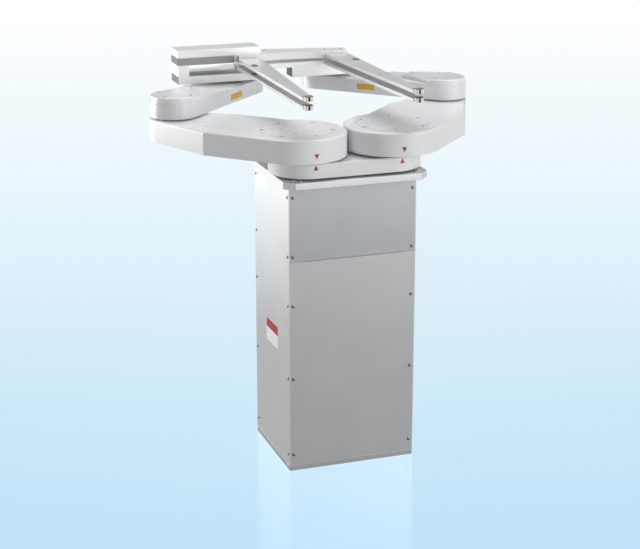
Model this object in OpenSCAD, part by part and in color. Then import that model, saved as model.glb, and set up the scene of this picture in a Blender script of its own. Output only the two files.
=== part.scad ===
// Wafer transfer robot: a column with a lift, a turning waist and two mirrored linear arms,
// each carrying a two-fingered hand. Origin at the centre of the column's foot, hands towards -Y.

/* [Column] */
// Width of the column
col_w = 300; // [280:2:330]
// Depth of the column
col_d = 250; // [236:2:290]
// Height of the column under its top flange
col_h = 670; // [620:5:740]
// Thickness of the base plate
base_t = 12; // [8:1:20]
// Thickness of the sheet covers
cover_t = 2; // [1.5:0.5:3]
// Height of the upper front cover
upper_cover_h = 173; // [120:1:220]
// Width of the frame's corner posts
post_w = 28; // [24:1:36]
// Inset of the cover screws from the column's edges
screw_inset = 9.5; // [8:0.5:13]
// Inset of the base bolts from the column's faces
base_bolt_inset = 40; // [34:1:60]
// Diameter of the base bolt holes
base_hole_d = 11; // [9:0.5:14]

/* [Top flange] */
// Thickness of the top flange
flange_t = 15.5; // [12:0.5:20]
// Overhang of the flange at the sides
flange_side = 17.5; // [12:0.5:24]
// Overhang of the flange at the front
flange_front = 38; // [30:1:46]
// Overhang of the flange at the rear
flange_rear = 16; // [10:1:24]
// Corner chamfer of the flange
flange_chamfer = 22; // [14:1:26]

/* [Lift] */
// Travel of the lift
lift_travel = 300; // [200:10:320]
// Outer radius of the lift post
post_r = 50; // [48:1:52]
// Wall of the lift post
post_wall = 5; // [4:0.5:6]
// Gap between the lift post and the front covers
post_clear = 3; // [2:0.5:6]

/* [Waist] */
// Height of the waist housing
waist_h = 33; // [30:1:38]
// Radius of the waist's round ends
waist_r = 83; // [80:1:88]
// Overhang of the waist past the flange at the sides
waist_over = 7.5; // [4:0.5:12]
// Gap between the flange and the waist
waist_gap = 4; // [3:0.5:6]

/* [First links] */
// Distance of a shoulder axis from the waist's end
shoulder_inset = 64; // [60:0.5:68]
// Half gap between the round ends of the two first links
link_side_gap = 2; // [1:0.5:4]
// Centre distance of both links of an arm
link_len = 313; // [300:1:330]
// Angle of the first link from the X axis at rest
rest_angle = 45.8; // [40:0.2:52]
// Radius of the first link round the elbow
link_end_r = 56; // [54:0.5:62]
// Height of the first link
link_h = 52; // [50:0.5:56]
// Gap between the waist and the first links
link_gap = 6.5; // [4:0.5:9]
// Radius of the shoulder cover
shoulder_cover_r = 80; // [74:1:84]

/* [Forearms] */
// Radius of the forearm round the elbow
elbow_r = 55; // [52:0.5:60]
// Radius of the forearm round the wrist
wrist_r = 60; // [56:0.5:64]
// Height of the forearm
fore_h = 33; // [31:0.5:36]
// Height of the raised part at the elbow
raise_h = 4; // [3:0.5:4.5]
// Height of the elbow cap above the raised part
cap_h = 11; // [7:0.5:12]
// Gap between a first link and its forearm
elbow_gap = 3; // [3:0.5:5]

/* [Hands] */
// Gap between a forearm and the plate of its hand
wrist_gap = 6; // [6:0.5:9]
// Thickness of the wrist plate of the upper hand
plate_t = 18; // [12:0.5:18]
// Height between the two hands
hand_pitch = 19; // [19:0.5:22]
// Half width across the outer edges of the fingers
hand_half = 136; // [130:1:140]
// Thickness of the fingers
finger_t = 7; // [5:0.5:7]
// Width of a finger at the cross bar
finger_root_w = 54; // [44:1:58]
// Width of a finger at its tip
finger_tip_w = 22; // [20:1:26]
// Diameter of the wafer
wafer_d = 450; // [440:1:460]
// Gap between the wafer and the cross bars
wafer_clear = 63; // [50:1:80]
// Half spacing of the wafer rests
rest_half = 125; // [120:1:126]
// Distance of the cross bars' front face in front of the wrist
bar_ahead = 79; // [74:1:84]

/* [Hidden] */
$fn = 72;
ring_fn = 96;
small_fn = 24;
over = 1;
eps = 0.01;
run_gap = 0.05;
free_gap = 0.5;
poke = 0.03;
seam = 1;

// Heights of the stack
flange_z = col_h;
flange_top = flange_z + flange_t;
waist_z = flange_top + waist_gap;
waist_top = waist_z + waist_h;
link_z = waist_top + link_gap;
link_top = link_z + link_h;
fore_z = link_top + elbow_gap;
fore_top = fore_z + fore_h;
raise_top = fore_top + raise_h;
cap_top = raise_top + cap_h;
plate_z = fore_top + wrist_gap;
plate_top = plate_z + plate_t;
finger_lift = 9;
bar_under = 3;
bar_over = 2;
low_finger_z = plate_top + finger_lift;
low_bar_z = low_finger_z - bar_under;
low_bar_t = finger_t + bar_under + bar_over;
high_finger_z = low_finger_z + hand_pitch;
high_bar_z = high_finger_z - bar_over;
high_bar_t = finger_t + 5 * bar_over;
high_bar_top = high_bar_z + high_bar_t;

// Places of the axes
axis_y = -(col_d / 2 - cover_t - post_clear - post_r);
waist_half = col_w / 2 + flange_side + waist_over - waist_r;
shoulder_x = waist_half + waist_r - shoulder_inset;
link_r = shoulder_x - link_side_gap;
elbow_x = shoulder_x + link_len * cos(rest_angle);
elbow_y = axis_y + link_len * sin(rest_angle);
wrist_y = axis_y + 2 * link_len * sin(rest_angle);
bar_front = wrist_y - bar_ahead;
rest_dy = sqrt(pow(wafer_d / 2, 2) - rest_half * rest_half);
wafer_y = bar_front - wafer_clear - wafer_d / 2;

// Cover screws
screw_d = 4;
screw_hole_d = screw_d + 0.1;
screw_head_d = 7.6;
screw_head_h = 2.2;
small_head_d = 6.5;
small_head_h = 1.4;
screw_len = 7;
short_screw_len = 3;
socket_d = 2.9;
socket_depth = 1.2;
top_screw_drop = 26;
split_screw_drop = 12;
foot_screw_rise = 39;
split_z = col_h - upper_cover_h;
lower_rows = [0.795, 0.448];
row_z = [col_h - top_screw_drop, split_z + split_screw_drop,
  split_z * lower_rows[0], split_z * lower_rows[1], foot_screw_rise];

// ---- shared shapes ----
module ring(r_out, r_in, h) {
  difference() {
    cylinder(r = r_out, h = h, $fn = ring_fn);
    translate([0, 0, -over]) cylinder(r = r_in, h = h + 2 * over, $fn = ring_fn);
  }
}

// Button-head screw with its head's underside at z = 0
module button_screw(len = screw_len, head_d = screw_head_d, head_h = screw_head_h) {
  dome_r = head_d * 0.8;
  translate([0, 0, -len]) cylinder(d = screw_d, h = len + eps, $fn = small_fn);
  difference() {
    intersection() {
      cylinder(d = head_d, h = head_h, $fn = small_fn);
      translate([0, 0, head_h - dome_r]) sphere(r = dome_r, $fn = 2 * small_fn);
    }
    translate([0, 0, head_h - socket_depth])
      cylinder(d = socket_d, h = socket_depth + over, $fn = 6);
  }
}

// Block with two round ends along X
module stadium(half, r, h) {
  for (s = [-1, 1]) translate([s * half, 0, 0]) cylinder(r = r, h = h, $fn = ring_fn);
  translate([-half, -r, 0]) cube([2 * half, 2 * r, h]);
}

// Closed belt round two pulleys a centre distance apart along X
module belt(dist, r1, r2, h) {
  belt_t = 1.6;
  a = acos((r1 - r2) / dist);
  module run(grow, height) {
    p1 = (r1 + grow + poke) * [cos(a), sin(a)];
    p2 = (r2 + grow + poke) * [cos(a), sin(a)];
    cylinder(r = r1 + grow, h = height);
    translate([dist, 0, 0]) cylinder(r = r2 + grow, h = height);
    linear_extrude(height = height) polygon([
      [p1[0], p1[1]], [p1[0], -p1[1]], [dist + p2[0], -p2[1]], [dist + p2[0], p2[1]]]);
  }
  difference() {
    run(belt_t, h);
    translate([0, 0, -over]) run(run_gap, h + 2 * over);
  }
}

// Belt pulley with two flanges; its belt runs with belt_side free at both faces
pulley_rim = 2.2;
pulley_rim_t = 1;
belt_side = 1.3;

module pulley(r, h, bore) {
  difference() {
    union() {
      cylinder(r = r, h = h);
      for (z = [0, h - pulley_rim_t])
        translate([0, 0, z]) cylinder(r = r + pulley_rim, h = pulley_rim_t);
    }
    translate([0, 0, -over]) cylinder(r = bore, h = h + 2 * over);
  }
}

// ---- column ----
module base_plate() {
  color("lightgray") difference() {
    translate([-col_w / 2, -col_d / 2, 0]) cube([col_w, col_d, base_t]);
    for (x = [-1, 1], y = [-1, 1])
      translate([x * (col_w / 2 - base_bolt_inset), y * (col_d / 2 - base_bolt_inset), -over])
        cylinder(d = base_hole_d, h = base_t + 2 * over);
  }
}

// Four posts, rails at the foot, and rails behind and at the sides higher up
module column_frame() {
  x0 = col_w / 2 - cover_t;
  y0 = col_d / 2 - cover_t;
  h = col_h - base_t;
  rail_t = post_w * 0.7;
  color("gray") difference() {
    union() {
      for (x = [-1, 1], y = [-1, 1])
        translate([x * (x0 - post_w / 2), y * (y0 - post_w / 2), base_t + h / 2])
          cube([post_w, post_w, h], center = true);
      for (z = [base_t, split_z - rail_t / 2, col_h - rail_t]) {
        for (x = [-1, 1])
          translate([x * (x0 - rail_t / 2), 0, z + rail_t / 2])
            cube([rail_t, 2 * y0 - post_w, rail_t], center = true);
        for (y = z == base_t ? [-1, 1] : [1])
          translate([0, y * (y0 - rail_t / 2), z + rail_t / 2])
            cube([2 * x0 - post_w, rail_t, rail_t], center = true);
      }
    }
    column_screw_places() translate([0, 0, -screw_len - over])
      cylinder(d = screw_hole_d, h = screw_len + 2 * over, $fn = small_fn);
  }
}

// Puts children at every cover screw, +Z pointing out of the face
module column_screw_places() {
  for (z = row_z, s = [-1, 1]) {
    for (f = [-1, 1])
      translate([s * (col_w / 2 - screw_inset), f * col_d / 2, z])
        rotate([f < 0 ? 90 : -90, 0, 0]) children();
    for (f = [-1, 1])
      translate([f * col_w / 2, s * (col_d / 2 - screw_inset), z])
        rotate([0, f * 90, 0]) children();
  }
}

module screw_holes() {
  column_screw_places() translate([0, 0, -cover_t - over])
    cylinder(d = screw_hole_d, h = cover_t + 2 * over, $fn = small_fn);
}

// A cover on the front (-1) or rear (1) face between two heights
module face_cover(face, z0, z1) {
  w = col_w - 2 * cover_t;
  difference() {
    translate([-w / 2, face * col_d / 2 - (face > 0 ? cover_t : 0), z0])
      cube([w, cover_t, z1 - z0]);
    screw_holes();
  }
}

module cover_front_upper() { color("silver") face_cover(-1, split_z + seam / 2, col_h); }
module cover_front_lower() { color("silver") face_cover(-1, base_t, split_z - seam / 2); }
module cover_rear() { color("silver") face_cover(1, base_t, col_h); }

module side_cover(side) {
  difference() {
    translate([side > 0 ? col_w / 2 - cover_t : -col_w / 2, -col_d / 2, base_t])
      cube([cover_t, col_d, col_h - base_t]);
    screw_holes();
  }
}

module cover_left() { color("whitesmoke") side_cover(-1); }
module cover_right() { color("whitesmoke") side_cover(1); }

module column_screws() {
  color("dimgray") column_screw_places() button_screw();
}

seal_w = 6;

module flange_plan() {
  w = col_w / 2 + flange_side;
  f = -col_d / 2 - flange_front;
  r = col_d / 2 + flange_rear;
  c = flange_chamfer;
  polygon([[-w + c, f], [w - c, f], [w, f + c], [w, r - c], [w - c, r], [-w + c, r],
    [-w, r - c], [-w, f + c]]);
}

module top_flange() {
  color("lightgray") difference() {
    translate([0, 0, flange_z]) linear_extrude(height = flange_t) flange_plan();
    translate([0, axis_y, flange_z - over]) cylinder(r = post_r + seal_w, h = flange_t + 2 * over);
  }
}

module post_seal() {
  seal_rise = 2;
  color("black") translate([0, axis_y, flange_z + seal_rise])
    ring(post_r + seal_w, post_r + free_gap, flange_t - seal_rise);
}

// ---- lift ----
rail_plate_t = 10;
rail_face = col_d / 2 - cover_t - post_w - rail_plate_t;
rail_x = col_w / 2 - cover_t - post_w - 58;
rail_w = 15;
rail_h = 12;
rail_foot = 20;
rail_head = 24;
rail_z0 = base_t + rail_foot;
rail_z1 = col_h - rail_head;
plate_head_gap = 8;
screw_y = rail_face - 34;
screw_r = 8;
journal_r = 5;
support_w = 52;
support_h = 14;
support_front = 16;
screw_z0 = base_t + 26;

// Rail plate with two guide rails and the two bearing blocks of the ball screw
module guide_rails() {
  color("silver") {
    translate([-col_w / 2 + cover_t + post_w, rail_face, base_t])
      cube([col_w - 2 * cover_t - 2 * post_w, rail_plate_t, col_h - base_t - plate_head_gap]);
    for (s = [-1, 1])
      translate([s * rail_x - rail_w / 2, rail_face - rail_h, rail_z0])
        cube([rail_w, rail_h + eps, rail_z1 - rail_z0]);
    for (z = [screw_z0 - support_h, rail_z1]) translate([0, screw_y, z]) difference() {
      translate([-support_w / 2, -support_front, 0])
        cube([support_w, support_front + rail_face - screw_y + eps, support_h]);
      translate([0, 0, -over]) cylinder(r = journal_r, h = support_h + 2 * over);
    }
  }
}

module ball_screw() {
  color("silver") translate([0, screw_y, 0]) {
    translate([0, 0, screw_z0]) cylinder(r = screw_r, h = rail_z1 - screw_z0);
    translate([0, 0, base_t]) cylinder(r = journal_r, h = screw_z0 - base_t + eps);
    translate([0, 0, rail_z1 - eps]) cylinder(r = journal_r, h = support_h);
  }
}

motor_w = 56;
motor_h = 96;
motor_boss_r = 14;
motor_boss_h = 10;
foot_r = 4;
foot_x = motor_w / 2 - foot_r - 2;
motor_x = -(col_w / 2 - 64);
motor_y = screw_y - 61;
motor_dist = norm([motor_x, motor_y - screw_y]);
lift_belt_z = 4;
lift_pulley_h = 8;
lift_pulley_r = 22;

module lift_motor() {
  boss_z = lift_belt_z - over;
  color("black") translate([motor_x, motor_y, base_t]) {
    translate([-motor_w / 2, -motor_w / 2, boss_z + motor_boss_h])
      cube([motor_w, motor_w, motor_h]);
    translate([0, 0, boss_z]) cylinder(r = motor_boss_r, h = motor_boss_h + eps);
    for (p = [[-1, -1], [-1, 1], [1, -1]])
      translate([p[0] * foot_x, p[1] * foot_x, 0]) cylinder(r = foot_r, h = boss_z + motor_boss_h + eps);
  }
}

module lift_belt() {
  color("dimgray") translate([motor_x, motor_y, base_t + lift_belt_z])
    rotate(atan2(screw_y - motor_y, -motor_x)) translate([0, 0, belt_side])
      belt(motor_dist, motor_boss_r, lift_pulley_r, lift_pulley_h - 2 * belt_side);
  color("silver") translate([0, screw_y, base_t + lift_belt_z])
    pulley(lift_pulley_r, lift_pulley_h, journal_r);
}

carriage_z = base_t + 60;
carriage_h = 200;
carriage_t = 12;
carriage_side = 28;
hub_t = 16;
block_h = 60;
block_w = 40;
block_depth = 22;
block_gap = 0.3;
block_stand = 14;
gusset_t = 10;
gusset_end = 40;
nut_r = 18;
nut_h = 50;
nut_rise = 70;
nut_room = 24;
nut_plate_w = 80;
nut_plate_t = 10;
carriage_back = rail_face - rail_h - block_stand;
lift_post_z = carriage_z + carriage_h;

// Upright plate on the runners, with a hub that carries the lift post and two gussets
module lift_carriage() {
  plate_front = carriage_back - carriage_t;
  half_w = rail_x + carriage_side;
  color("lightgray") difference() {
    union() {
      translate([-half_w, plate_front, carriage_z]) cube([2 * half_w, carriage_t, carriage_h]);
      translate([0, axis_y, lift_post_z - hub_t]) cylinder(r = post_r, h = hub_t);
      translate([-post_r, axis_y, lift_post_z - hub_t])
        cube([2 * post_r, plate_front - axis_y + eps, hub_t]);
      for (s = [-1, 1]) translate([s * (post_r - gusset_t / 2) - gusset_t / 2, 0, 0])
        rotate([90, 0, 90]) linear_extrude(height = gusset_t) polygon([
          [plate_front + over, carriage_z + gusset_t],
          [plate_front + over, lift_post_z - hub_t + over],
          [axis_y + gusset_end, lift_post_z - hub_t + over]]);
    }
    translate([0, screw_y, carriage_z - over]) cylinder(r = nut_room, h = carriage_h + 2 * over);
    translate([0, axis_y, carriage_z]) cylinder(r = post_r * 0.6, h = carriage_h + over);
  }
}

// Four rail runners and the ball nut with its bracket
module lift_runners() {
  color("gray") {
    for (s = [-1, 1], z = [carriage_z + gusset_t, lift_post_z - gusset_t - block_h])
      difference() {
        translate([s * rail_x - block_w / 2, carriage_back, z])
          cube([block_w, block_depth, block_h]);
        translate([s * rail_x - rail_w / 2 - block_gap, rail_face - rail_h - block_gap, z - over])
          cube([rail_w + 2 * block_gap, block_depth, block_h + 2 * over]);
      }
    translate([0, screw_y, carriage_z + nut_rise]) {
      ring(nut_r, screw_r + run_gap, nut_h);
      difference() {
        translate([-nut_plate_w / 2, carriage_back - carriage_t - nut_plate_t - screw_y, 0])
          cube([nut_plate_w, nut_plate_t, nut_h]);
        translate([0, 0, -over]) cylinder(r = nut_r - eps, h = nut_h + 2 * over);
      }
    }
  }
}

seat_gap = 1;

module lift_post() {
  color("silver") translate([0, axis_y, lift_post_z])
    ring(post_r, post_r - post_wall, waist_z - seat_gap - lift_post_z);
}

theta_motor_h = 90;
theta_flange_h = 10;
reducer_h = 34;
bore_r = post_r - post_wall;
motor_side = 8;
reducer_side = 6;
tube_z = lift_post_z + theta_motor_h + reducer_h;

// Motor, mounting flange and reducer of the waist, inside the lift post
module theta_motor() {
  color("black") translate([0, axis_y, lift_post_z]) {
    cylinder(r = bore_r - motor_side, h = theta_motor_h);
    translate([0, 0, theta_motor_h - eps]) cylinder(r = bore_r, h = theta_flange_h);
    translate([0, 0, theta_motor_h]) cylinder(r = bore_r - reducer_side, h = reducer_h);
  }
}

bearing_h = 14;
bearing_t = 4;
tube_r = bore_r - bearing_t;
tube_wall = 4;

module theta_bearing() {
  color("silver") translate([0, axis_y, waist_z - seat_gap - bearing_h])
    ring(bore_r, tube_r + run_gap, bearing_h);
}

// ---- waist ----
waist_wall = 5;
waist_roof = 8;
waist_edge = 1.5;
waist_floor_t = 4;
waist_lip = 0.5;
arm_motor_r = (tube_r - tube_wall) / 2 - 1;
arm_motor_x = arm_motor_r + 1;
motor_foot = 30;
drive_z = waist_z + waist_floor_t + 2;
drive_h = 10;
drive_pulley_r = arm_motor_r - 3.5;
shoulder_pulley_r = 34;
shoulder_bearing_r = 40;
shoulder_bearing_h = 7;
fixed_post_r = 16;
hub_r = 28;
hub_flange = 8;
hub_flange_t = 3;

module waist_body(inset, h) {
  translate([0, axis_y, 0]) stadium(waist_half, waist_r - inset, h);
}

module waist_housing() {
  color("white") difference() {
    union() {
      translate([0, 0, waist_z]) waist_body(0, waist_h - waist_edge);
      translate([0, 0, waist_top - waist_edge - eps]) waist_body(waist_edge, waist_edge + eps);
    }
    translate([0, 0, waist_z - over]) waist_body(waist_wall, waist_h - waist_roof + over);
    for (s = [-1, 1]) translate([s * shoulder_x, axis_y, waist_z])
      cylinder(r = shoulder_bearing_r, h = waist_h + over);
  }
}

module waist_base_cover() {
  color("gray") difference() {
    translate([0, 0, waist_z + waist_lip]) waist_body(waist_wall + run_gap, waist_floor_t);
    translate([0, axis_y, waist_z]) cylinder(r = tube_r - tube_wall, h = waist_h);
    for (s = [-1, 1]) translate([s * shoulder_x, axis_y, waist_z])
      cylinder(r = fixed_post_r, h = waist_h);
  }
}

module theta_tube() {
  tube_floor = 6;
  color("silver") translate([0, axis_y, tube_z]) {
    ring(tube_r, tube_r - tube_wall, waist_z + waist_lip - tube_z);
    cylinder(r = tube_r - tube_wall / 2, h = tube_floor);
  }
}

module arm_motors() {
  color("black") for (s = [-1, 1]) translate([s * arm_motor_x, axis_y, 0]) {
    translate([0, 0, tube_z + motor_foot])
      cylinder(r = arm_motor_r, h = drive_z - waist_lip - tube_z - motor_foot);
    translate([0, 0, drive_z - over]) cylinder(r = journal_r, h = drive_h + over);
  }
}

module drive_belts() {
  for (s = [-1, 1]) translate([s * shoulder_x, axis_y, drive_z]) rotate(s > 0 ? 180 : 0) {
    color("dimgray") translate([0, 0, belt_side])
      belt(shoulder_x - arm_motor_x, shoulder_pulley_r, drive_pulley_r, drive_h - 2 * belt_side);
    color("silver") translate([shoulder_x - arm_motor_x, 0, 0])
      pulley(drive_pulley_r, drive_h, journal_r);
  }
}

module shoulder_bearings() {
  color("silver") for (s = [-1, 1])
    translate([s * shoulder_x, axis_y, waist_top - shoulder_bearing_h])
      ring(shoulder_bearing_r, hub_r + run_gap, shoulder_bearing_h);
}

big_pulley_r = 38;
small_pulley_r = 19;
pulley_h = 11;
link_floor = 8;
belt_z = link_z + link_floor + hub_flange_t + over;

// Fixed posts that hold the first pulley of each arm still on the waist
module shoulder_posts() {
  color("gray") for (s = [-1, 1]) translate([s * shoulder_x, axis_y, 0]) {
    translate([0, 0, waist_z + waist_lip])
      cylinder(r = fixed_post_r, h = belt_z + pulley_h - waist_z - waist_lip);
    translate([0, 0, belt_z]) pulley(big_pulley_r, pulley_h, fixed_post_r - eps);
  }
}

// ---- first links ----
link_wall = 10;
link_room = 20;
bend_out = link_len * 0.556;
bend_in = link_len * 0.62;
link_in = link_r * 0.81;
recess = 3;
groove = 1;
cover_stand = 0.7;
cover_edge = 5;
elbow_bearing_r = 24;
elbow_bearing_h = 12;
elbow_hub_r = 14.5;
elbow_post_r = 9;
cover_angles = [28, 90, 152, 208, 270, 332];

// Tangent point from [px, py] on the circle at [cx, 0]; side is 1 above, -1 below
function tangent_point(px, py, cx, r, side) =
  let (dx = px - cx, d = sqrt(dx * dx + py * py), base = atan2(py, dx), off = acos(r / d))
  [cx + r * cos(base - side * off), r * sin(base - side * off)];

// Corners of a first link's straight part, along +X with its outer side towards +Y
function link_corners(inset) =
  let (r1 = link_r - inset, r2 = link_end_r - inset, y1 = link_in - inset)
  [[0, r1 + poke], [0, -y1], [bend_in, -y1],
    tangent_point(bend_in, -y1, link_len, r2 + poke, -1), [link_len, 0],
    tangent_point(bend_out, r1 + poke, link_len, r2 + poke, 1), [bend_out, r1 + poke]];

module link_solid(inset, h) {
  cylinder(r = link_r - inset, h = h, $fn = ring_fn);
  translate([link_len, 0, 0]) cylinder(r = link_end_r - inset, h = h, $fn = ring_fn);
  linear_extrude(height = h) polygon(link_corners(inset));
}

// Puts children at a shoulder; X along the link, Y towards its outer side
module at_shoulder(side) {
  translate([side * shoulder_x, axis_y, 0])
    mirror([side > 0 ? 0 : 1, 0, 0]) rotate(rest_angle) mirror([0, 1, 0]) children();
}

module link_housing(side) {
  color("white") at_shoulder(side) difference() {
    translate([0, 0, link_z]) link_solid(0, link_h);
    translate([0, 0, link_z + link_floor]) link_solid(link_wall, link_room);
    translate([0, 0, link_z - over]) cylinder(r = hub_r, h = link_floor + 2 * over);
    translate([0, 0, link_z + link_room])
      cylinder(r = shoulder_cover_r - link_floor, h = link_h);
    translate([0, 0, link_top - recess]) cylinder(r = shoulder_cover_r + groove, h = link_floor);
    translate([link_len, 0, link_z + link_room]) cylinder(r = elbow_bearing_r, h = link_h);
  }
}

module cover_screw_places() {
  for (a = cover_angles) rotate(a)
    translate([shoulder_cover_r - cover_edge, 0, link_top + cover_stand]) children();
}

module link_cover(side) {
  color("white") at_shoulder(side) difference() {
    translate([0, 0, link_top - recess]) cylinder(r = shoulder_cover_r, h = recess + cover_stand);
    cover_screw_places() translate([0, 0, -link_floor])
      cylinder(d = screw_hole_d, h = link_floor + over, $fn = small_fn);
  }
}

module link_screws(side) {
  color("dimgray") at_shoulder(side) cover_screw_places()
    button_screw(recess + cover_stand - over, small_head_d, small_head_h);
}

// Hub that turns in the waist's bearing, with the belt pulley below and the link clamped on it
module link_hub(side) {
  hub_in = fixed_post_r + free_gap;
  color("silver") at_shoulder(side) {
    translate([0, 0, drive_z]) {
      ring(hub_r, hub_in, link_z + link_floor + over - drive_z);
      ring(shoulder_pulley_r, hub_r - eps, drive_h);
    }
    translate([0, 0, link_z + link_floor]) ring(hub_r + hub_flange, hub_in, hub_flange_t);
  }
}

module link_belt(side) {
  color("dimgray") at_shoulder(side) translate([0, 0, belt_z + belt_side])
    belt(link_len, big_pulley_r, small_pulley_r, pulley_h - 2 * belt_side);
}

fore_floor = 6;
fore_belt_z = fore_z + fore_floor + hub_flange_t + over;

// Post fixed in the first link's floor, with the forearm's first pulley and the elbow bearing
module elbow_post(side) {
  color("gray") at_shoulder(side) translate([link_len, 0, 0]) {
    translate([0, 0, link_z + link_floor])
      cylinder(r = elbow_post_r, h = fore_belt_z + pulley_h - link_z - link_floor);
    translate([0, 0, fore_belt_z]) pulley(small_pulley_r, pulley_h, elbow_post_r - eps);
    translate([0, 0, link_top - elbow_bearing_h])
      ring(elbow_bearing_r, elbow_hub_r + run_gap, elbow_bearing_h);
  }
}

// ---- forearms ----
fore_wall = 7;
fore_room = 20;
fore_edge = 1;
raise_inset = 1.6;
raise_len = link_len * 0.51;
raise_end_h = 3;
cap_to_wrist = 225;
cap_tip_x = link_len - cap_to_wrist;
cap_tip_r = 19;
raise_flat = cap_tip_x + cap_tip_r;
raise_slope = atan((raise_h - raise_end_h) / (raise_len - raise_flat));
wrist_hub_r = 22;
wrist_bearing_r = 34;
wrist_bearing_h = 9;

// Puts children at an elbow; X along the forearm, Y towards its front side
module at_elbow(side) {
  translate([side * elbow_x, elbow_y, 0])
    mirror([side > 0 ? 0 : 1, 0, 0]) rotate(180 - rest_angle) children();
}

// Two rounds and their tangents; X runs from the first round's centre to the second's
module taper_link(dist, r1, r2, h) {
  a = acos((r1 - r2) / dist);
  p1 = (r1 + poke) * [cos(a), sin(a)];
  p2 = (r2 + poke) * [cos(a), sin(a)];
  cylinder(r = r1, h = h, $fn = ring_fn);
  translate([dist, 0, 0]) cylinder(r = r2, h = h, $fn = ring_fn);
  linear_extrude(height = h) polygon([
    [p1[0], p1[1]], [p1[0], -p1[1]], [dist + p2[0], -p2[1]], [dist + p2[0], p2[1]]]);
}

module forearm_solid(inset, h) {
  taper_link(link_len, elbow_r - inset, wrist_r - inset, h);
}

// Raised part at the elbow, its top sloping down towards the wrist
module elbow_raise() {
  side = 2 * elbow_r + 2 * fore_wall;
  intersection() {
    translate([0, 0, fore_top - over]) forearm_solid(raise_inset, raise_h + over);
    union() {
      translate([raise_flat, -side / 2, raise_top]) rotate([0, raise_slope, 0])
        translate([0, 0, -raise_h - over]) cube([raise_len - raise_flat, side, raise_h + over]);
      translate([-side, -side / 2, fore_top - over]) cube([side + raise_flat, side, 2 * raise_h]);
    }
  }
}

module forearm_housing(side) {
  color("white") at_elbow(side) difference() {
    union() {
      translate([0, 0, fore_z]) forearm_solid(0, fore_h - fore_edge);
      translate([0, 0, fore_top - fore_edge - eps]) forearm_solid(fore_edge, fore_edge + eps);
      elbow_raise();
    }
    translate([0, 0, fore_z + fore_floor]) forearm_solid(fore_wall, fore_room);
    translate([0, 0, fore_z - over]) cylinder(r = elbow_hub_r, h = fore_floor + 2 * over);
    translate([link_len, 0, fore_z + fore_room]) cylinder(r = wrist_bearing_r, h = fore_h);
  }
}

cap_inset = 3;
cap_r = elbow_r - cap_inset;
cap_fillet = 3;
cap_flat_x = cap_tip_x + 4;
cap_foot = 1.2;
cap_slope = atan((cap_h - cap_foot) / (raise_flat - cap_flat_x));
cap_screw_x = cap_r - 10;
cap_screw_y = cap_r - 9;
cap_screw_in = 8;
cap_screw_spots = [[-cap_screw_x, 0], [cap_tip_x - cap_screw_in, 0],
  [cap_inset, cap_screw_y], [cap_inset, -cap_screw_y]];

// Round cap with a filleted rim, and a tail that slopes down towards the wrist
module forearm_cap(side) {
  color("white") at_elbow(side) translate([0, 0, raise_top]) difference() {
    union() {
      rotate_extrude($fn = ring_fn) {
        square([cap_r - cap_fillet, cap_h]);
        square([cap_r, cap_h - cap_fillet]);
        intersection() {
          translate([cap_r - cap_fillet, cap_h - cap_fillet]) circle(r = cap_fillet, $fn = 48);
          square([cap_r, cap_h]);
        }
      }
      difference() {
        taper_link(cap_tip_x, cap_r - cap_fillet, cap_tip_r, cap_h - eps);
        translate([cap_flat_x, -elbow_r, cap_h]) rotate([0, cap_slope, 0])
          cube([2 * elbow_r + cap_tip_x, 2 * elbow_r, 2 * cap_h]);
      }
    }
    translate([0, 0, cap_h]) cap_screw_places() translate([0, 0, -2 * short_screw_len])
      cylinder(d = screw_hole_d, h = 3 * short_screw_len, $fn = small_fn);
  }
}

module cap_screw_places() {
  for (p = cap_screw_spots) translate([p[0], p[1], 0]) children();
}

module forearm_screws(side) {
  color("dimgray") at_elbow(side) translate([0, 0, cap_top]) cap_screw_places()
    button_screw(short_screw_len, small_head_d, small_head_h);
}

// Hub clamped in the forearm's floor and driven by the first link's belt, and the wrist bearing
module elbow_hub(side) {
  hub_in = elbow_post_r + free_gap;
  color("silver") at_elbow(side) {
    translate([0, 0, belt_z]) {
      ring(elbow_hub_r, hub_in, fore_z + fore_floor + over - belt_z);
      pulley(small_pulley_r, pulley_h, elbow_hub_r - eps);
    }
    translate([0, 0, fore_z + fore_floor]) ring(elbow_hub_r + hub_flange, hub_in, hub_flange_t);
    translate([link_len, 0, fore_top - wrist_bearing_h])
      ring(wrist_bearing_r, wrist_hub_r + run_gap, wrist_bearing_h);
  }
}

module forearm_belt(side) {
  color("dimgray") at_elbow(side) translate([0, 0, fore_belt_z + belt_side])
    belt(link_len, small_pulley_r, big_pulley_r, pulley_h - 2 * belt_side);
}

// ---- hands ----
wrist_seat_r = 40;
wrist_cap_r = 50;
seat_rise = 2;

module wrist_shaft(side) {
  foot = fore_z + fore_floor + over;
  color("silver") translate([side * shoulder_x, wrist_y, 0]) {
    translate([0, 0, foot]) cylinder(r = wrist_hub_r, h = plate_z - foot);
    translate([0, 0, fore_belt_z]) pulley(big_pulley_r, pulley_h, wrist_hub_r - eps);
    translate([0, 0, fore_top + seat_rise])
      cylinder(r = wrist_seat_r, h = plate_z - fore_top - seat_rise);
  }
}

bar_d = 63;
bar_rear = bar_front + bar_d;
bracket_out = 169;
bracket_x = shoulder_x + bracket_out;
bracket_wall = 26;
bracket_rear = 42;
bracket_top_w = 136;
plate_out = 50;
cap_groove_w = 1.5;
cap_groove_r = 47;
groove_depth = 1;

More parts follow.
